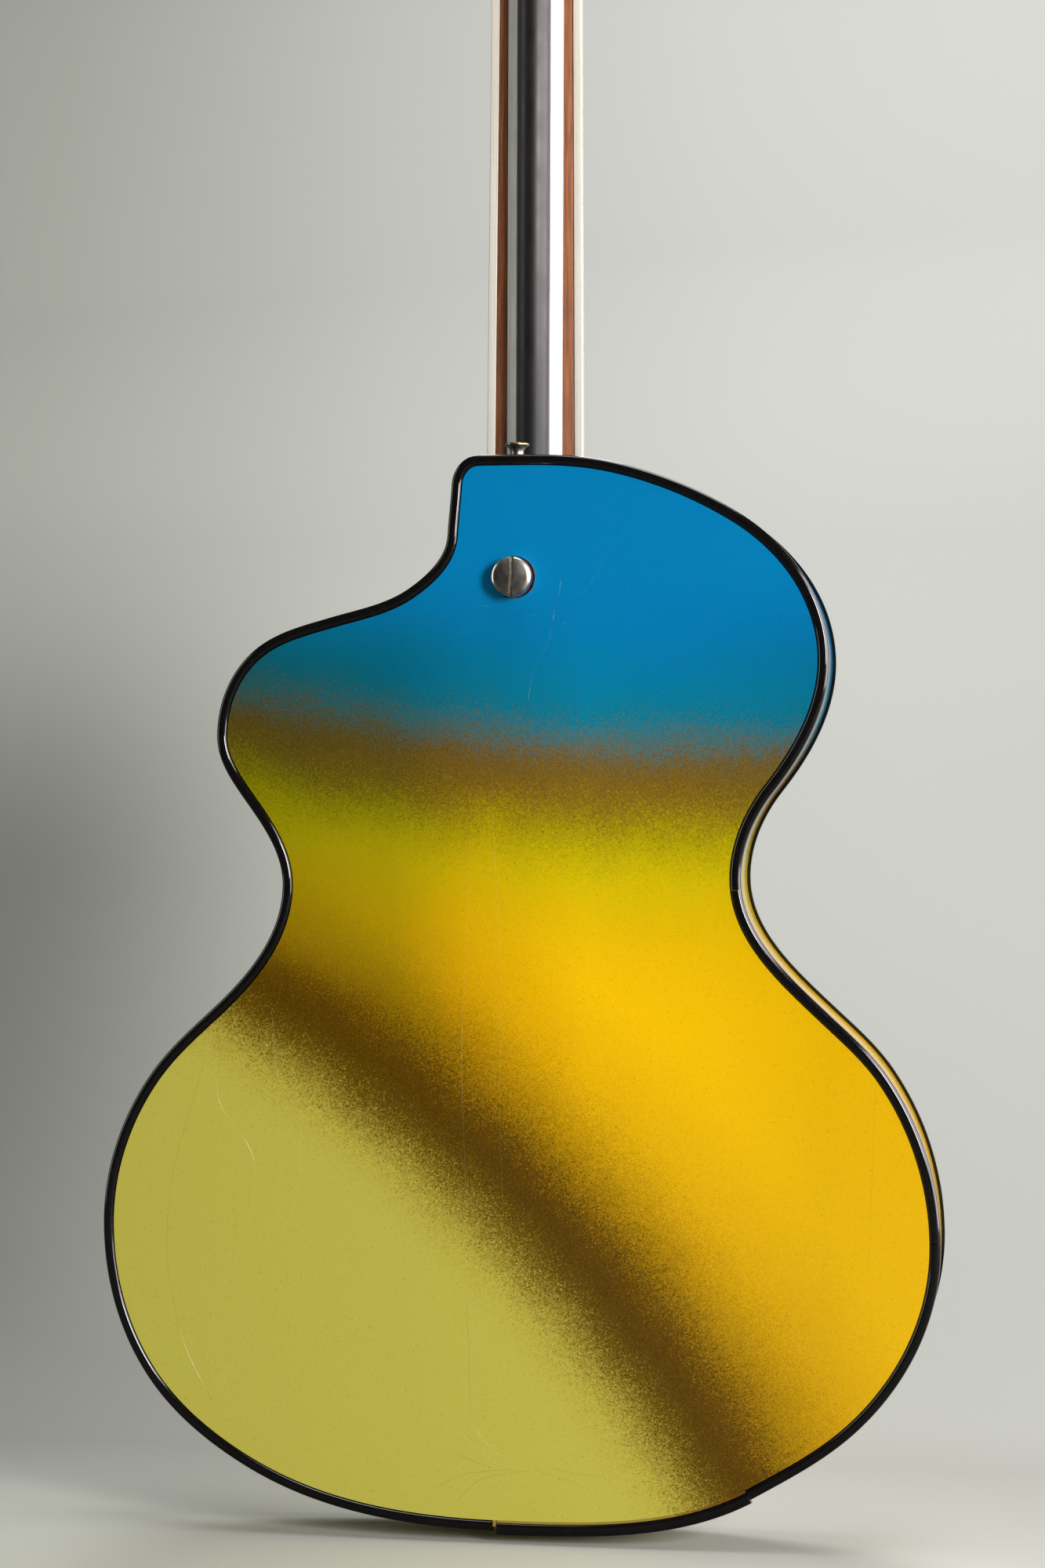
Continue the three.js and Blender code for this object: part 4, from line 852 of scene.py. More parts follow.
class GUITAR_OT_fingerboard(bpy.types.Operator):
    """Fingerboard, frets, position dots, bindings and nut"""
    bl_idname = "guitar.fingerboard"
    bl_label = "Fingerboard"

    def execute(self, context):
        sizes = context.scene.guitar_neck
        low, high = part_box("binding_treble")
        end = -low.z
        nut_half, end_half = 17.15 * MM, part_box("binding_treble")[1].x - 4.5 * MM
        front, back = -6 * MM, 0

        def half_at(distance):
            return nut_half + (end_half - nut_half) * distance / end

        bm = slab([[(-half_at(0), 0), (-half_at(end), -end), (half_at(end), -end), (half_at(0), 0)]], front, back, 0.25 * MM, 2)
        piece_from(bm, "fingerboard_wood", [named("oiled rosewood", rosewood)], "neck", ["fingerboard"])
        wires = []
        for fret in range(1, sizes.fret_count + 1):
            distance = fret_distance(fret)
            reach = half_at(distance) - 0.3 * MM
            wire = turned([(0, -reach), (sizes.fret_radius * 0.86, -reach), (sizes.fret_radius, -reach + 0.35 * MM),
                           (sizes.fret_radius, reach - 0.35 * MM), (sizes.fret_radius * 0.86, reach), (0, reach)], 20)
            wire = aimed(wire, (0, -5.7 * MM, -distance), (1, 0, 0))
            made = bmesh.ops.bisect_plane(wire, geom=wire.verts[:] + wire.edges[:] + wire.faces[:], dist=1e-7,
                                          plane_co=(0, front + 0.4 * MM, 0), plane_no=(0, 1, 0), clear_outer=True)
            bmesh.ops.contextual_create(wire, geom=[e for e in made["geom_cut"] if isinstance(e, bmesh.types.BMEdge)])
            wires.append(wire)
        piece_from(merged(wires), "frets", [named("fret wire", fret_wire)], "neck")
        dots = []
        for fret in (3, 5, 7, 9, 12, 15, 17, 19):
            middle = -(fret_distance(fret) + fret_distance(fret - 1)) / 2
            for x in ((-8 * MM, 8 * MM) if fret == 12 else (0,)):
                dot = turned([(0, 0), (sizes.dot_radius, 0), (sizes.dot_radius, 0.5 * MM), (sizes.dot_radius * 0.9, 0.56 * MM), (0, 0.6 * MM)], 32)
                dots.append(aimed(dot, (x, front + 0.5 * MM, middle), (0, -1, 0)))
        piece_from(merged(dots), "position_dots", [named("ivory celluloid", ivory_celluloid)], "neck")
        for side in ("bass", "treble"):
            bm = copy_of(f"binding_{side}", 0.5 * MM, 3)
            piece_from(bm, f"binding_{side}_strip", [named("ivory celluloid", ivory_celluloid)], "neck", [f"binding_{side}"])
        bm = copy_of("nut", 0.25 * MM, 2)
        piece_from(bm, "nut_slotted", [named("ivory celluloid", ivory_celluloid)], "neck", ["nut"])
        return {"FINISHED"}


def head_matrix():
    """Place and lean of the headstock."""
    return Matrix.Translation((0, 2.3 * MM, 5.3 * MM)) @ Matrix.Rotation(math.radians(-8), 4, "X")


POST_ACROSS, FIRST_POST, POST_SPACING = 20 * MM, 42 * MM, 41 * MM


def post_place(i):
    side = 1 if i < 3 else -1
    row = i if i < 3 else 5 - i
    return side, side * POST_ACROSS, FIRST_POST + POST_SPACING * row


class GUITAR_OT_headstock(bpy.types.Operator):
    """Headstock with its facing and tuner strips"""
    bl_idname = "guitar.headstock"
    bl_label = "Headstock"

    def execute(self, context):
        bm = copy_of("headstock", 0.4 * MM, 2, 40)
        piece_from(bm, "headstock_core", [named("headstock lacquer", headstock_lacquer)], "neck", ["headstock"], smooth=12)
        bm = copy_of("headstock_veneer", 0.3 * MM, 2, 40)
        piece_from(bm, "headstock_facing", [named("headstock lacquer", headstock_lacquer)], "neck", ["headstock_veneer"], smooth=12)
        for side in ("bass", "treble"):
            bm = copy_of(f"tuner_plate_{side}", 0.2 * MM, 2, 50)
            piece_from(bm, f"tuner_strip_{side}", [named("nickel plate", nickel_plate)], "neck", [f"tuner_plate_{side}"])
        heads = []
        for sign in (-1, 1):
            for z in (34, 69, 110, 137):
                screw = turned([(0, 0), (1.9 * MM, 0), (1.75 * MM, 0.45 * MM), (1.1 * MM, 0.8 * MM), (0, 0.9 * MM)], 20)
                screw = lobes(screw, (0, 0, 0), (1, 0, 0), 0.25 * MM, (0, 0, 0.35 * MM), (0, 0, 1))
                aimed(screw, (sign * (POST_ACROSS + 0.2 * MM), 15.5 * MM, z * MM), (0, 1, 0))
                screw.transform(head_matrix())
                heads.append(screw)
        piece_from(merged(heads), "tuner_strip_screws", [named("nickel plate", nickel_plate)], "neck")
        return {"FINISHED"}


class GUITAR_OT_tuners(bpy.types.Operator):
    """Tuner shafts with their buttons, and string posts with their gears"""
    bl_idname = "guitar.tuners"
    bl_label = "Tuners"

    def execute(self, context):
        place = head_matrix()
        worm_y, worm_up = 17.8 * MM, 7.3 * MM
        for i in range(6):
            side, x, z = post_place(i)
            half = 4 * MM
            thread = []
            turns = 5
            for k in range(turns):
                a = -half + 2 * half * k / turns
                step = 2 * half / turns
                thread += [(1.45 * MM, a + 0.1 * step), (2 * MM, a + 0.4 * step), (2 * MM, a + 0.6 * step), (1.45 * MM, a + 0.9 * step)]
            worm = turned([(0, -half), *thread, (0, half)], 24)
            aimed(worm, (x, worm_y, z + worm_up), (1, 0, 0))
            edge = side * 44 * MM
            inner = x - side * 6.6 * MM
            bar = turned([(0, 0), (1.3 * MM, 0), (1.5 * MM, 0.2 * MM), (1.5 * MM, abs(edge - inner)), (0, abs(edge - inner))], 24)
            aimed(bar, (inner, worm_y, z + worm_up), (side, 0, 0))
            collar = turned([(0, 0), (2.6 * MM, 0), (3 * MM, 0.6 * MM), (2.6 * MM, 2 * MM), (1.8 * MM, 2.6 * MM), (0, 2.6 * MM)], 24)
            aimed(collar, (edge - side * 1.2 * MM, worm_y, z + worm_up), (side, 0, 0))
            grip = bmesh.new()
            bmesh.ops.create_uvsphere(grip, u_segments=32, v_segments=20, radius=0.5)
            for vert in grip.verts:
                flat = 1 - 0.16 * (1 - min(1, abs(vert.co.z) * 2.2)) * (abs(vert.co.y) * 2) ** 2
                vert.co = Vector((vert.co.x * 16 * MM, vert.co.y * 7 * MM * flat, vert.co.z * 12 * MM))
            bmesh.ops.translate(grip, verts=grip.verts[:], vec=(edge + side * 8 * MM, worm_y, z + worm_up))
            metal = merged([worm, bar, collar])
            metal.transform(place)
            grip.transform(place)
            piece_from(metal, f"tuner_shaft_{i + 1}", [named("nickel plate", nickel_plate)], f"button_{i + 1}")
            piece_from(grip, f"tuner_grip_{i + 1}", [named("ivory celluloid", ivory_celluloid)], f"button_{i + 1}", [f"tuner_button_{i + 1}"])

            teeth = []
            for k in range(14):
                for share, radius in ((0, 4), (0.25, 4.05), (0.4, 5), (0.6, 5), (0.75, 4.05)):
                    angle = math.tau * (k + share) / 14
                    teeth.append((radius * MM * math.cos(angle), radius * MM * math.sin(angle)))
            gear = slab([teeth, circle(0, 0, 2.2 * MM, 24)], 16.3 * MM, 19.3 * MM, 0.15 * MM, 1)
            cap = turned([(0, 0), (2.2 * MM, 0), (2.2 * MM, 2.6 * MM), (1.8 * MM, 2.95 * MM), (0, 2.95 * MM)], 24)
            cap = lobes(cap, (0, 0, 0), (1, 0, 0), 0.35 * MM, (0, 0, 2.2 * MM), (0, 0, 1))
            aimed(cap, (0, 16.3 * MM, 0), (0, 1, 0))
            post = turned([(0, 0), (2.7 * MM, 0), (3 * MM, 0.3 * MM), (3 * MM, 2.2 * MM), (2.45 * MM, 3.4 * MM), (2.45 * MM, 5.6 * MM),
                           (3 * MM, 6.6 * MM), (3 * MM, 28 * MM), (0, 28 * MM)], 32)
            post = lobes(post, (0, 0, 0), (1, 0, 0), 0.5 * MM, (0, 0, 1.6 * MM), (0, 0, -1))
            aimed(post, (0, -12 * MM, 0), (0, 1, 0))
            whole = merged([gear, cap, post])
            whole.transform(place @ Matrix.Translation((x, 0, z)))
            piece_from(whole, f"post_and_gear_{i + 1}", [named("nickel plate", nickel_plate)], f"post_{i + 1}", [f"string_post_{i + 1}"])
        return {"FINISHED"}


class GUITAR_OT_strings(bpy.types.Operator):
    """Six strings from the tailpiece to the posts"""
    bl_idname = "guitar.strings"
    bl_label = "Strings"

    def execute(self, context):
        place = head_matrix()
        radii = [0.13, 0.17, 0.22, 0.33, 0.46, 0.58]
        scale = context.scene.guitar_neck.scale_length
        tail_y, tail_z = -0.5 * MM, -scale - 46 * MM
        for i, radius in enumerate(radii):
            r = radius * MM
            bridge_x = 52 * MM * (0.5 - i / 5)
            nut_x = 35 * MM * (0.5 - i / 5)
            ball_z = tail_z - 6.8 * MM
            side, x, z = post_place(i)
            wind = (3.3 / math.cos(math.pi / 10)) * MM + r
            coil = []
            turns = 3
            height = r * 2 * turns
            for k in range(turns * 24 + 1):
                angle = math.tau * k / 24
                coil.append(place @ Vector((x - side * wind * math.cos(angle), -8 * MM - height / 2 + height * k / (turns * 24), z - wind * math.sin(angle))))
            route = [Vector((bridge_x, tail_y, ball_z - 2 * MM)), Vector((bridge_x, tail_y, tail_z + 6.8 * MM))]
            saddle = Vector((bridge_x, -11.2 * MM - r, -scale - 4 * MM))
            nut = Vector((nut_x, -7.6 * MM - r, 5 * MM))
            route.append(saddle)
            route += [saddle.lerp(nut, k / 40) for k in range(1, 41)]
            start = coil[0]
            route += [nut.lerp(start, k / 6) for k in range(1, 7)]
            route += coil[1:]
            wire = tube(route, r, 12)
            ball = turned([(0, 0), (1.7 * MM, 0), (2 * MM, 0.4 * MM), (2 * MM, 3.6 * MM), (1.7 * MM, 4 * MM), (0, 4 * MM)], 24)
            aimed(ball, (bridge_x, tail_y, ball_z - 4 * MM), (0, 0, 1))
            material = named("wound string", string_metal) if i > 2 else named("fret wire", fret_wire)
            piece = piece_from(merged([wire, ball]), f"string_{i + 1}_wire", [material], None, [f"string_{i + 1}"], smooth=60)
            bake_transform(piece)
        return {"FINISHED"}


# Front hardware

class GUITAR_OT_bridge(bpy.types.Operator):
    """Bridge base, thumbwheels and saddle"""
    bl_idname = "guitar.bridge"
    bl_label = "Bridge"

    def execute(self, context):
        bm = copy_of("bridge_base", 0.6 * MM, 3, 20)
        piece_from(bm, "bridge_foot", [named("oiled rosewood", rosewood)], "body", ["bridge_base"])
        for side in ("bass", "treble"):
            low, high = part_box(f"thumbwheel_{side}")
            middle = (low + high) / 2
            half = (high.y - low.y) / 2
            rim = []
            for k in range(48):
                angle = math.tau * k / 48
                radius = (7.5 if k % 2 else 7.1) * MM
                rim.append((middle.x + radius * math.cos(angle), middle.z + radius * math.sin(angle)))
            bm = slab([rim, circle(middle.x, middle.z, 2.4 * MM, 24)], middle.y - half, middle.y + half, 0.25 * MM, 1)
            piece_from(bm, f"thumbwheel_{side}_knurled", [named("nickel plate", nickel_plate)], f"wheel_{side}", [f"thumbwheel_{side}"])
        bm = copy_of("bridge_saddle", 0.5 * MM, 3, 20)
        piece_from(bm, "saddle_bar", [named("nickel plate", nickel_plate)], "saddle", ["bridge_saddle"])
        low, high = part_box("bridge_saddle")
        heads = []
        for i in range(6):
            x = 52 * MM * (0.5 - i / 5)
            screw = turned([(0, 0), (1.5 * MM, 0), (1.5 * MM, 0.5 * MM), (1.2 * MM, 0.8 * MM), (0, 0.8 * MM)], 20)
            screw = lobes(screw, (0, 0, 0), (1, 0, 0), 0.2 * MM, (0, 0, 0.4 * MM), (0, 0, 1))
            heads.append(aimed(screw, (x, low.y + 3.4 * MM, low.z), (0, 0, -1)))
        piece_from(merged(heads), "saddle_screws", [named("nickel plate", nickel_plate)], "saddle")
        return {"FINISHED"}


def slotted_stud(place, radius, height, slot, direction, shank=None):
    head = turned([(0, 0), (radius - 0.3 * MM, 0), (radius, 0.3 * MM), (radius, height - 0.5 * MM), (radius - 0.6 * MM, height), (0, height)], 40)
    head = lobes(head, (0, 0, 0), (1, 0, 0), slot / 2, (0, 0, height * 0.55), (0, 0, 1))
    parts = [head]
    if shank:
        parts.append(turned([(0, -shank[1]), (shank[0], -shank[1]), (shank[0], 0.1 * MM), (0, 0.1 * MM)], 28))
    return aimed(merged(parts), place, direction)


class GUITAR_OT_tailpiece(bpy.types.Operator):
    """Tailpiece bar and its two studs"""
    bl_idname = "guitar.tailpiece"
    bl_label = "Tailpiece"

    def execute(self, context):
        bm = copy_of("tailpiece", 0.4 * MM, 2, 60)
        bmesh.ops.triangulate(bm, faces=bm.faces[:])
        piece_from(bm, "tailpiece_bar", [named("nickel plate", nickel_plate)], "body", ["tailpiece"], smooth=40)
        for side in ("bass", "treble"):
            low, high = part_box(f"tailpiece_stud_{side}")
            middle = (low + high) / 2
            bm = slotted_stud((middle.x, low.y + 2.5 * MM, middle.z), 5 * MM, 2.5 * MM, 1.4 * MM, (0, -1, 0), (3 * MM, high.y - low.y - 2.5 * MM))
            piece_from(bm, f"tailpiece_{side}_stud", [named("nickel plate", nickel_plate)], "body", [f"tailpiece_stud_{side}"])
        return {"FINISHED"}


class GUITAR_OT_pickups(bpy.types.Operator):
    """Two pickups with their rings, pole screws and ring screws"""
    bl_idname = "guitar.pickups"
    bl_label = "Pickups"

    def execute(self, context):
        for name in ("neck", "bridge"):
            low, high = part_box(f"pickup_ring_{name}")
            middle = (low + high) / 2
            outer = rounded_rectangle(0, middle.z, 90 * MM, 42 * MM, 4 * MM, 8)
            inner = rounded_rectangle(0, middle.z, 71 * MM, 34 * MM, 3 * MM, 8)
            bm = slab([outer, inner], low.y, high.y, 0.9 * MM, 3, where=lambda e: (e.verts[0].co.y + e.verts[1].co.y) / 2 < middle.y)
            piece_from(bm, f"{name}_pickup_ring", [named("ivory celluloid", ivory_celluloid)], "body", [f"pickup_ring_{name}"])
            box_low, box_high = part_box(f"pickup_{name}")
            cover = rounded_rectangle(0, middle.z, 70 * MM, 33 * MM, 3 * MM, 8)
            bm = slab([cover], box_low.y, box_high.y, 1.2 * MM, 4)
            piece_from(bm, f"{name}_pickup_cover", [named("nickel plate", nickel_plate)], "body", [f"pickup_{name}"])
            poles = [slotted_stud((52 * MM * (0.5 - i / 5) * (0.93 if name == "neck" else 1), box_low.y, middle.z + 9 * MM), 2.4 * MM, 0.9 * MM, 0.7 * MM, (0, -1, 0))
                     for i in range(6)]
            for pole in poles:
                bmesh.ops.translate(pole, verts=pole.verts[:], vec=(0, 0.35 * MM, 0))
            piece_from(merged(poles), f"{name}_pole_screws", [named("machined steel", machined_steel)], "body")
            screws = [slotted_stud((x * 40 * MM, low.y + 0.5 * MM, middle.z + z * 17 * MM), 2 * MM, 1 * MM, 0.6 * MM, (0, -1, 0)) for x in (-1, 1) for z in (-1, 1)]
            piece_from(merged(screws), f"{name}_ring_screws", [named("nickel plate", nickel_plate)], "body")
        return {"FINISHED"}


class GUITAR_OT_controls(bpy.types.Operator):
    """Knobs, selector switch and jack socket"""
    bl_idname = "guitar.controls"
    bl_label = "Controls"

    def execute(self, context):
        for name in ("volume", "tone"):
            low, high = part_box(f"{name}_knob")
            middle = (low + high) / 2
            height = high.y - low.y
            profile = [(7.5, 0), (12.6, 0), (13, 0.4), (13, 2.6), (12.4, 3.2), (11.7, 3.6), (11.1, 13.4), (10.6, 14.3), (9.6, 14.8), (8.8, 14.6),
                       (8.2, 14.3), (0, 14.3)]
            bm = turned([(r * MM, h * height / 15) for r, h in profile] + [(0, 5 * height / 15), (7.5 * MM, 5 * height / 15), (7.5 * MM, 0)], 72)
            for vert in bm.verts:
                radius = math.hypot(vert.co.x, vert.co.y)
                if 10.9 * MM < radius < 12 * MM and 3.4 * MM < vert.co.z < 13.6 * MM:
                    turn = round(math.atan2(vert.co.y, vert.co.x) / (math.tau / 72))
                    if turn % 3 == 0:
                        vert.co.x *= 0.965
                        vert.co.y *= 0.965
            aimed(bm, (middle.x, high.y, middle.z), (0, -1, 0))
            piece_from(bm, f"{name}_control_knob", [named("knob plastic", knob_plastic)], f"{name}_knob", [f"{name}_knob"], smooth=28)
            mark = turned([(0, 0), (1.1 * MM, 0), (1 * MM, 0.25 * MM), (0, 0.3 * MM)], 20)
            aimed(mark, (middle.x, low.y + 0.55 * MM, middle.z + 6 * MM), (0, -1, 0))
            piece_from(mark, f"{name}_knob_mark", [named("ivory celluloid", ivory_celluloid)], f"{name}_knob")
        low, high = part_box("selector_lever")
        middle = (low + high) / 2
        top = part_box("front_plate")[0].y
        ring = turned([(4.2 * MM, 0), (8.5 * MM, 0), (8.5 * MM, 0.5 * MM), (8 * MM, 0.9 * MM), (4.2 * MM, 0.9 * MM)], 48)
        aimed(ring, (middle.x, top - 0.1 * MM, middle.z), (0, -1, 0))
        nut = turned([(4.1 * MM, 0.9 * MM), (7 * MM, 0.9 * MM), (7 * MM, 2.4 * MM), (6.4 * MM, 3 * MM), (4.1 * MM, 3 * MM)], 64)
        for vert in nut.verts:
            radius = math.hypot(vert.co.x, vert.co.y)
            turn = round(math.atan2(vert.co.y, vert.co.x) / (math.tau / 64))
            if radius > 5 * MM and turn % 2 == 0:
                vert.co.x *= 0.955
                vert.co.y *= 0.955
        aimed(nut, (middle.x, top - 0.1 * MM, middle.z), (0, -1, 0))
        piece_from(merged([ring, nut]), "selector_nut", [named("nickel plate", nickel_plate)], "body", smooth=28)
        lever = turned([(0, 0), (1.5 * MM, 0), (1.5 * MM, 8 * MM), (1.25 * MM, 15 * MM), (0, 15 * MM)], 24)
        aimed(lever, (middle.x, top + 4 * MM, middle.z), (0, -1, 0))
        piece_from(lever, "selector_stem", [named("nickel plate", nickel_plate)], "selector_lever")
        tip = turned([(0, -4.5 * MM), (1.9 * MM, -4.5 * MM), (2.3 * MM, -3.4 * MM), (3.1 * MM, -1.8 * MM), (3.8 * MM, 0), (3.9 * MM, 1.2 * MM),
                      (3.4 * MM, 2.7 * MM), (2.2 * MM, 3.7 * MM), (0, 4 * MM)], 40)
        aimed(tip, (middle.x, top - 16 * MM, middle.z), (0, -1, 0))
        piece_from(tip, "selector_tip", [named("ivory celluloid", ivory_celluloid)], "selector_lever", ["selector_lever"])
        low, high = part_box("jack_socket")
        middle = (low + high) / 2
        hexagon = [(8.9 * MM * math.cos(math.tau * (k + 0.5) / 6), 8.9 * MM * math.sin(math.tau * (k + 0.5) / 6)) for k in range(6)]
        nut = slab([[(x + middle.x, z + middle.z) for x, z in hexagon], circle(middle.x, middle.z, 4.4 * MM, 40)], low.y, low.y + 2.2 * MM, 0.3 * MM, 2)
        washer = slab([circle(middle.x, middle.z, 9 * MM, 48), circle(middle.x, middle.z, 4.4 * MM, 40)], low.y + 2.2 * MM, low.y + 3 * MM, 0.2 * MM, 1)
        barrel = turned([(3.4 * MM, -0.4 * MM), (4.3 * MM, -0.4 * MM), (4.3 * MM, high.y - low.y - 6 * MM), (6.9 * MM, high.y - low.y - 6 * MM),
                         (6.9 * MM, high.y - low.y), (3.4 * MM, high.y - low.y)], 40)
        aimed(barrel, (middle.x, low.y + 0.4 * MM, middle.z), (0, 1, 0))
        piece_from(merged([nut, washer, barrel]), "jack_fitting", [named("nickel plate", nickel_plate)], "body", ["jack_socket"])
        for node in ("volume_pot", "tone_pot", "selector_body", "pivot_pin"):
            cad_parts[node].data.materials.clear()
            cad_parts[node].data.materials.append(named("machined steel", machined_steel))
        return {"FINISHED"}


# Screw and pins

class GUITAR_OT_tilt_screw(bpy.types.Operator):
    """Large slotted screw that sets the neck's tilt, and its bush"""
    bl_idname = "guitar.tilt_screw"
    bl_label = "Tilt screw"

    def execute(self, context):
        low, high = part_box("tilt_screw")
        middle = (low + high) / 2
        top = high.y - low.y
        radius = context.scene.guitar_body.screw_head
        seat = top - (high.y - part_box("back_plate")[0].y)
        head = turned([(0, seat), (radius - 0.3 * MM, seat), (radius, seat + 0.4 * MM), (radius, top - 1.9 * MM), (radius - 0.3 * MM, top - 1.15 * MM),
                       (radius - 1.0 * MM, top - 0.6 * MM), (radius - 2.2 * MM, top - 0.3 * MM), (radius * 0.5, top - 0.1 * MM), (0, top)], 96)
        lean = math.radians(-2.5)
        head = lobes(head, (0, 0, 0), (math.cos(lean), math.sin(lean), 0), 1 * MM, (0, 0, top - 2.2 * MM), (0, 0, 1))
        shank = turned([(0, 0), (3.6 * MM, 0), (4 * MM, 0.5 * MM), (4 * MM, seat + 0.2 * MM), (0, seat + 0.2 * MM)], 40)
        bm = merged([head, shank])
        aimed(bm, (middle.x, low.y, middle.z), (0, 1, 0))
        piece_from(bm, "tilt_screw_slotted", [named("worn screw nickel", worn_nickel)], "tilt_screw", ["tilt_screw"], smooth=30)
        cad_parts["tilt_bush"].data.materials.clear()
        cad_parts["tilt_bush"].data.materials.append(named("aged brass", aged_brass))
        return {"FINISHED"}


class GUITAR_OT_strap_pins(bpy.types.Operator):
    """Strap button on the heel and end pin at the tail"""
    bl_idname = "guitar.strap_pins"
    bl_label = "Strap pins"

    def execute(self, context):
        low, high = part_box("heel_strap_button")
        middle = (low + high) / 2
        base = high.z - 7.8 * MM
        stem = turned([(0, -16 * MM), (2 * MM, -15 * MM), (2 * MM, 0), (4.2 * MM, 0), (4.3 * MM, 0.4 * MM), (3.7 * MM, 1 * MM), (3.25 * MM, 2.4 * MM),
                       (3.4 * MM, 4.2 * MM), (4.4 * MM, 5.6 * MM), (0, 5.7 * MM)], 48)
        rim = turned([(0, 5.5 * MM), (4.6 * MM, 5.6 * MM), (5.5 * MM, 6.05 * MM), (5.88 * MM, 6.6 * MM), (5.85 * MM, 7.1 * MM), (5.4 * MM, 7.5 * MM), (4.2 * MM, 7.62 * MM),
                      (2.6 * MM, 7.5 * MM), (2.3 * MM, 7.1 * MM), (0, 7.1 * MM)], 48)
        aimed(stem, (middle.x, middle.y, base), (0, 0, 1))
        aimed(rim, (middle.x, middle.y, base), (0, 0, 1))
        piece_from(stem, "strap_button_stem", [named("tarnished nickel", tarnished_nickel)], "body")
        piece_from(rim, "strap_button_rim", [named("aged brass", aged_brass)], "body", ["heel_strap_button"])
        low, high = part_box("end_pin")
        middle = (low + high) / 2
        reach = 7 * MM
        pin = turned([(0, -16 * MM), (2 * MM, -15 * MM), (2 * MM, 0), (2.8 * MM, 0), (2.7 * MM, 0.6 * MM), (2.9 * MM, 2.4 * MM), (3.4 * MM, 3.7 * MM),
                      (4.3 * MM, 4.9 * MM), (4.48 * MM, 5.4 * MM), (4.4 * MM, 6.2 * MM), (3.9 * MM, 6.8 * MM), (2.8 * MM, 7 * MM), (0, 7 * MM)], 48)
        aimed(pin, (middle.x, middle.y, low.z + reach), (0, 0, -1))
        piece_from(pin, "end_pin_turned", [named("brown copper", brown_copper)], "body", ["end_pin"])
        return {"FINISHED"}


# Stage

def stage_paper(name):
    """Matt seamless paper with a faint tooth: it takes a soft shadow and no highlight. Its colour holds painted shade:
    a soft change from pale grey to a darker warm grey from one side of the sweep to the other, lighter and darker along
    the depth to even out the lamps, a painted shadow on the darker side, and a painted darkening of the paper seen in
    reflections."""
    material, tree, shader, mm = blank(name)
    across, depth, up = add(tree, "ShaderNodeSeparateXYZ", {"Vector": mm}).outputs
    # Painted shade: the paper goes darker towards one side of the sweep, where the light falls off
    side = math_node(tree, "ADD", across, math_node(tree, "MULTIPLY_ADD", depth, 0.2457, -125))
    painted_shading = add(tree, "ShaderNodeValToRGB", {"Fac": share_between(tree, side, -1000, 1000, False)}, stops=spread(-1000, 1000, [
        (-900, "#dedfd9"), (-250, "#d7d8d1"), (80, "#cfd0c7"), (400, "#c9cac0")])).outputs["Color"]
    # Painted shade on the near floor at the lighter side
    edge = math_node(tree, "MULTIPLY", share_between(tree, side, -150, -420), share_between(tree, depth, -300, 60))
    painted_shading = blended(tree, edge, painted_shading, grey(0.76), "MULTIPLY")
    # Painted light and shade along the depth: lighter high on the sweep and on the floor just under the guitar, where
    # its shadow falls, darker on the floor nearer the lamps
    far = add(tree, "ShaderNodeValToRGB", {"Fac": share_between(tree, depth, -5000, 1500, False)}, stops=spread(-5000, 1500, [
        (-5000, 0.83), (-4400, 0.78), (-3700, 0.63), (-3000, 0.59), (-150, 0.58), (-30, 0.73), (90, 0.86), (200, 0.86), (900, 0.4)])).outputs["Color"]
    painted_shading = blended(tree, 1.0, painted_shading, far, "MULTIPLY")
    # Painted shadow on the darker side of the sweep, weaker towards the front
    shadow = math_node(tree, "MULTIPLY", share_between(tree, side, -250, 350), share_between(tree, depth, -4000, -2500))
    shadow = math_node(tree, "MULTIPLY", shadow, math_node(tree, "MULTIPLY_ADD", share_between(tree, depth, -900, 100), -0.45, 1))
    painted_shading = blended(tree, shadow, painted_shading, grey(0.39), "MULTIPLY")
    tooth = add(tree, "ShaderNodeTexNoise", {"Vector": mm, "Scale": 0.5, "Detail": 3}).outputs["Fac"]
    tone = add(tree, "ShaderNodeMapRange", {"Value": tooth, "To Min": 0.985, "To Max": 1.015}).outputs["Result"]
    toothed = blended(tree, 1.0, painted_shading, tone, "MULTIPLY")
    # Glossy rays see the near paper darker: a painted darkening of its reflection
    painted_dim_reflection = math_node(tree, "MULTIPLY", add(tree, "ShaderNodeLightPath").outputs["Is Glossy Ray"], share_between(tree, depth, -200, 100))
    tree.links.new(blended(tree, painted_dim_reflection, toothed, linear("#4c4d4a")), shader.inputs["Base Color"])
    shader.inputs["Roughness"].default_value = 0.9
    shader.inputs["Specular IOR Level"].default_value = 0.2

    # The back of the sheet lets the view through, so that the front of the guitar shows from beyond the sweep
    behind = add(tree, "ShaderNodeNewGeometry").outputs["Backfacing"]
    open_back = add(tree, "ShaderNodeBsdfTransparent").outputs["BSDF"]
    sheet = add(tree, "ShaderNodeMixShader", {0: behind, 1: shader.outputs["BSDF"], 2: open_back})
    add(tree, "ShaderNodeOutputMaterial", {"Surface": sheet.outputs["Shader"]}, is_active_output=True)
    return material


def soft_box(name, place, target, width, height, power, tint="#ffffff"):
    light = bpy.data.lights.new(name, "AREA")
    light.shape = "RECTANGLE"
    light.size, light.size_y = width, height
    light.energy = power
    light.color = linear(tint)[:3]
    lamp = bpy.data.objects.new(name, light)
    lamp.location = place
    lamp.rotation_euler = (Vector(target) - Vector(place)).to_track_quat("-Z", "Y").to_euler()
    bpy.context.scene.collection.objects.link(lamp)
    return lamp


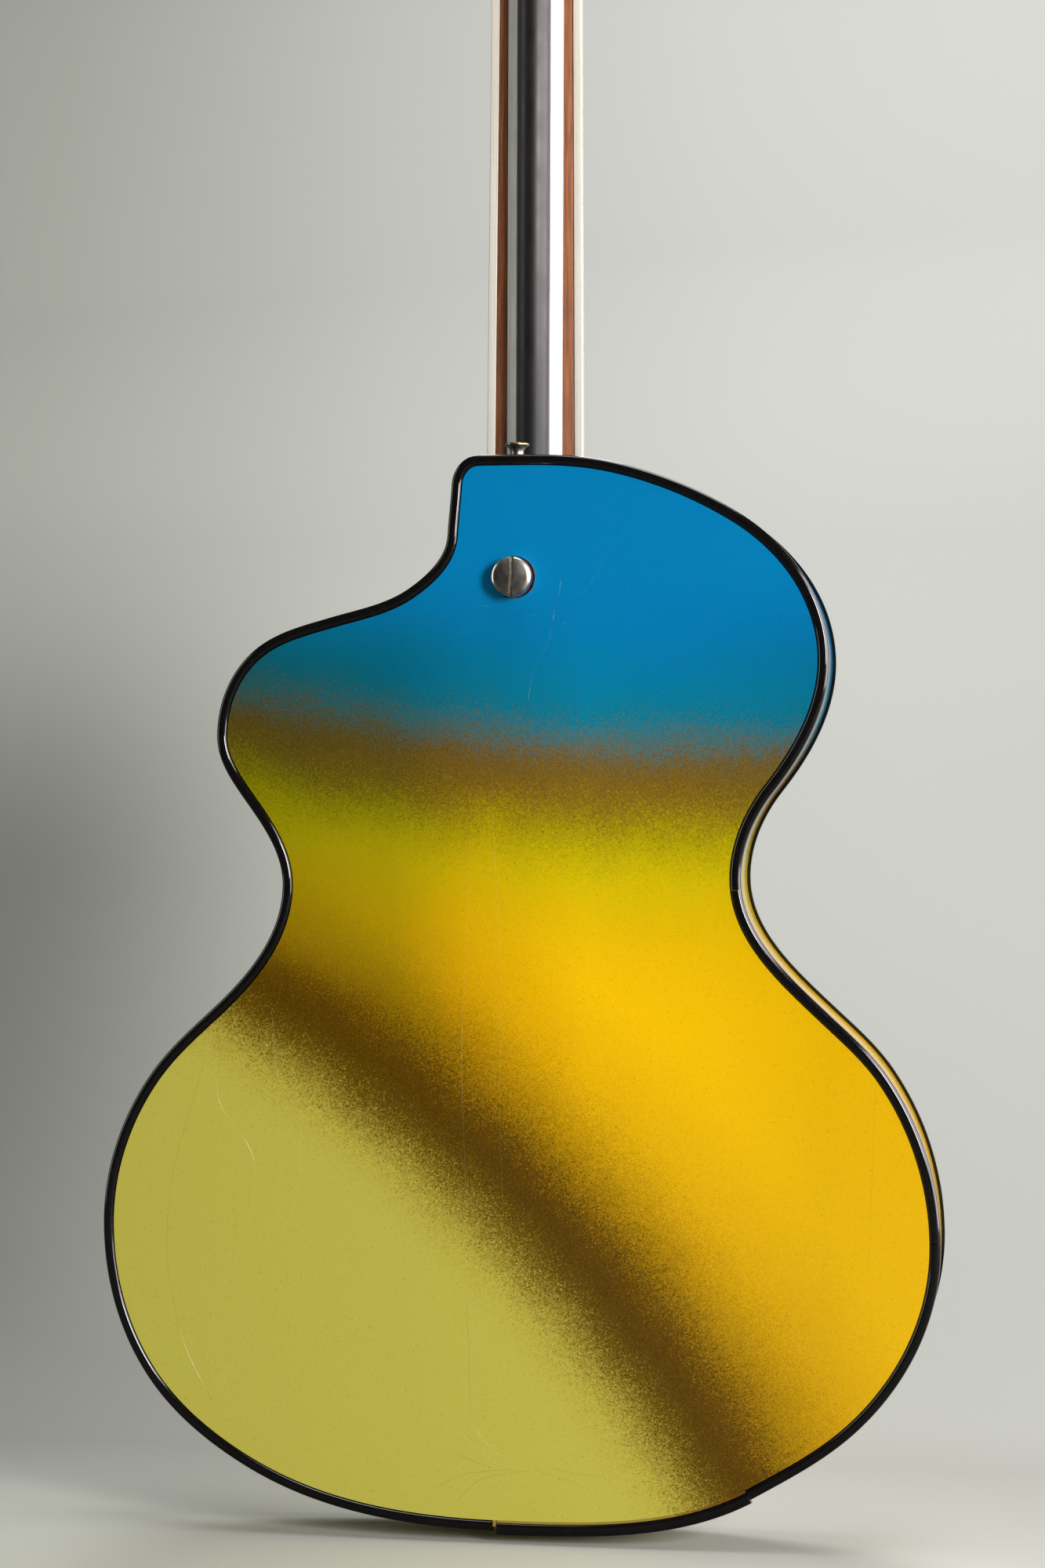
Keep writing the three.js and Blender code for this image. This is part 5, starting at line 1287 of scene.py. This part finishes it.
class GUITAR_OT_stage(bpy.types.Operator):
    """Paper floor and backdrop, soft lights and the camera"""
    bl_idname = "guitar.stage"
    bl_label = "Stage"

    def execute(self, context):
        scene = context.scene
        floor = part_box("end_pin")[0].z
        bm = bmesh.new()
        turn, far = 5.2, -6.2
        profile = [(2.6, floor), (far + turn, floor)]
        profile += [(far + turn - turn * math.sin(math.radians(a)), floor + turn - turn * math.cos(math.radians(a))) for a in range(3, 91, 3)]
        profile.append((far, floor + turn + 1))
        verts, edges = chain(bm, [(-6, y, z) for y, z in profile], closed=False)
        made = bmesh.ops.extrude_edge_only(bm, edges=edges)
        bmesh.ops.translate(bm, verts=[v for v in made["geom"] if isinstance(v, bmesh.types.BMVert)], vec=(12, 0, 0))
        bmesh.ops.reverse_faces(bm, faces=bm.faces[:])
        mesh = bpy.data.meshes.new("paper")
        bm.to_mesh(mesh)
        bm.free()
        mesh.shade_smooth()
        paper = bpy.data.objects.new("paper", mesh)
        mesh.materials.append(stage_paper("seamless paper"))
        scene.collection.objects.link(paper)

        aim = (0, 0.06, -0.6)
        soft_box("key", (-1.744, 1.867, 0.07), aim, 0.6, 1.0, 74, "#fffdf9")
        soft_box("wide side", (-2.4, -0.2, 0.1), (0, 0, -0.5), 2.4, 2.4, 17, "#fffefc")
        for name, place, width, power, tint in (("right card", (-2.35, 0.15, 0.0), 3.2, 190, "#fdf4f8"), ("left card", (2.4, 0.7, 0.0), 1.0, 16, "#fbfaf4")):
            card = soft_box(name, place, (0, 0, -0.5), width, 2.4, power, tint)
            card.visible_diffuse = False
        soft_box("weak side", (2.4, 0.1, -0.2), (0, 0, -0.5), 2.0, 2.4, 3, "#f6faff")
        soft_box("front", (0.6, -2.8, 2.2), (0, 0, -0.4), 1.4, 1.4, 45)
        soft_box("overhead", (-0.5, 0.3, 3.4), (0, 0, -0.8), 2.4, 2.0, 85)
        soft_box("backdrop", (-0.3, -3.0, 3.4), (0, -3.6, 0), 2.4, 2.0, 105)
        world = bpy.data.worlds.new("studio")
        world.use_nodes = True
        tree = world.node_tree
        path = add(tree, "ShaderNodeLightPath")
        glossy = add(tree, "ShaderNodeMapRange", {"Value": path.outputs["Is Glossy Ray"], "To Min": 0.1, "To Max": 0.05}).outputs["Result"]
        strength = math_node(tree, "MAXIMUM", glossy, math_node(tree, "MULTIPLY", path.outputs["Is Camera Ray"], 0.75))
        background = tree.nodes["Background"]
        background.inputs["Color"].default_value = linear("#e6e7e4")
        tree.links.new(strength, background.inputs["Strength"])
        scene.world = world

        camera = bpy.data.cameras.new("camera")
        camera.lens = 78.1
        camera.sensor_width = 36
        camera.sensor_fit = "AUTO"
        camera.clip_end = 50
        holder = bpy.data.objects.new("camera", camera)
        turn = math.radians(9.2)
        forward = Vector((math.sin(turn), -math.cos(turn), 0))
        holder.location = (-0.2638, 1.6631, -0.5119)
        roll = Matrix.Rotation(math.radians(0.2), 4, "Z")
        holder.matrix_world = Matrix.Translation(holder.location) @ forward.to_track_quat("-Z", "Y").to_matrix().to_4x4() @ roll
        scene.collection.objects.link(holder)
        scene.camera = holder
        scene.view_settings.view_transform = "Standard"
        return {"FINISHED"}


OPERATORS = [
    GUITAR_OT_stage, GUITAR_OT_plates, GUITAR_OT_cracks, GUITAR_OT_rim, GUITAR_OT_edge_strips, GUITAR_OT_neck, GUITAR_OT_fingerboard,
    GUITAR_OT_headstock, GUITAR_OT_tuners, GUITAR_OT_strings, GUITAR_OT_bridge, GUITAR_OT_tailpiece, GUITAR_OT_pickups,
    GUITAR_OT_controls, GUITAR_OT_tilt_screw, GUITAR_OT_strap_pins,
]


class GUITAR_PT_pieces(bpy.types.Panel):
    """Lists the guitar's pieces"""
    bl_idname = "GUITAR_PT_pieces"
    bl_label = "Guitar"
    bl_space_type = "VIEW_3D"
    bl_region_type = "UI"
    bl_category = "Guitar"

    def draw(self, context):
        for operator in OPERATORS:
            self.layout.operator(operator.bl_idname)


GROUPS = {"guitar_body": BodySizes, "guitar_neck": NeckSizes, "guitar_finish": FinishColours}


def register():
    for kind in (*GROUPS.values(), *OPERATORS, GUITAR_PT_pieces):
        bpy.utils.register_class(kind)
    for name, kind in GROUPS.items():
        setattr(bpy.types.Scene, name, PointerProperty(type=kind))


def unregister():
    for name in GROUPS:
        delattr(bpy.types.Scene, name)
    for kind in (GUITAR_PT_pieces, *reversed(OPERATORS), *reversed(GROUPS.values())):
        bpy.utils.unregister_class(kind)


def main():
    register()
    for operator in OPERATORS:
        group, name = operator.bl_idname.split(".")
        getattr(getattr(bpy.ops, group), name)()


if __name__ == "__main__":
    main()
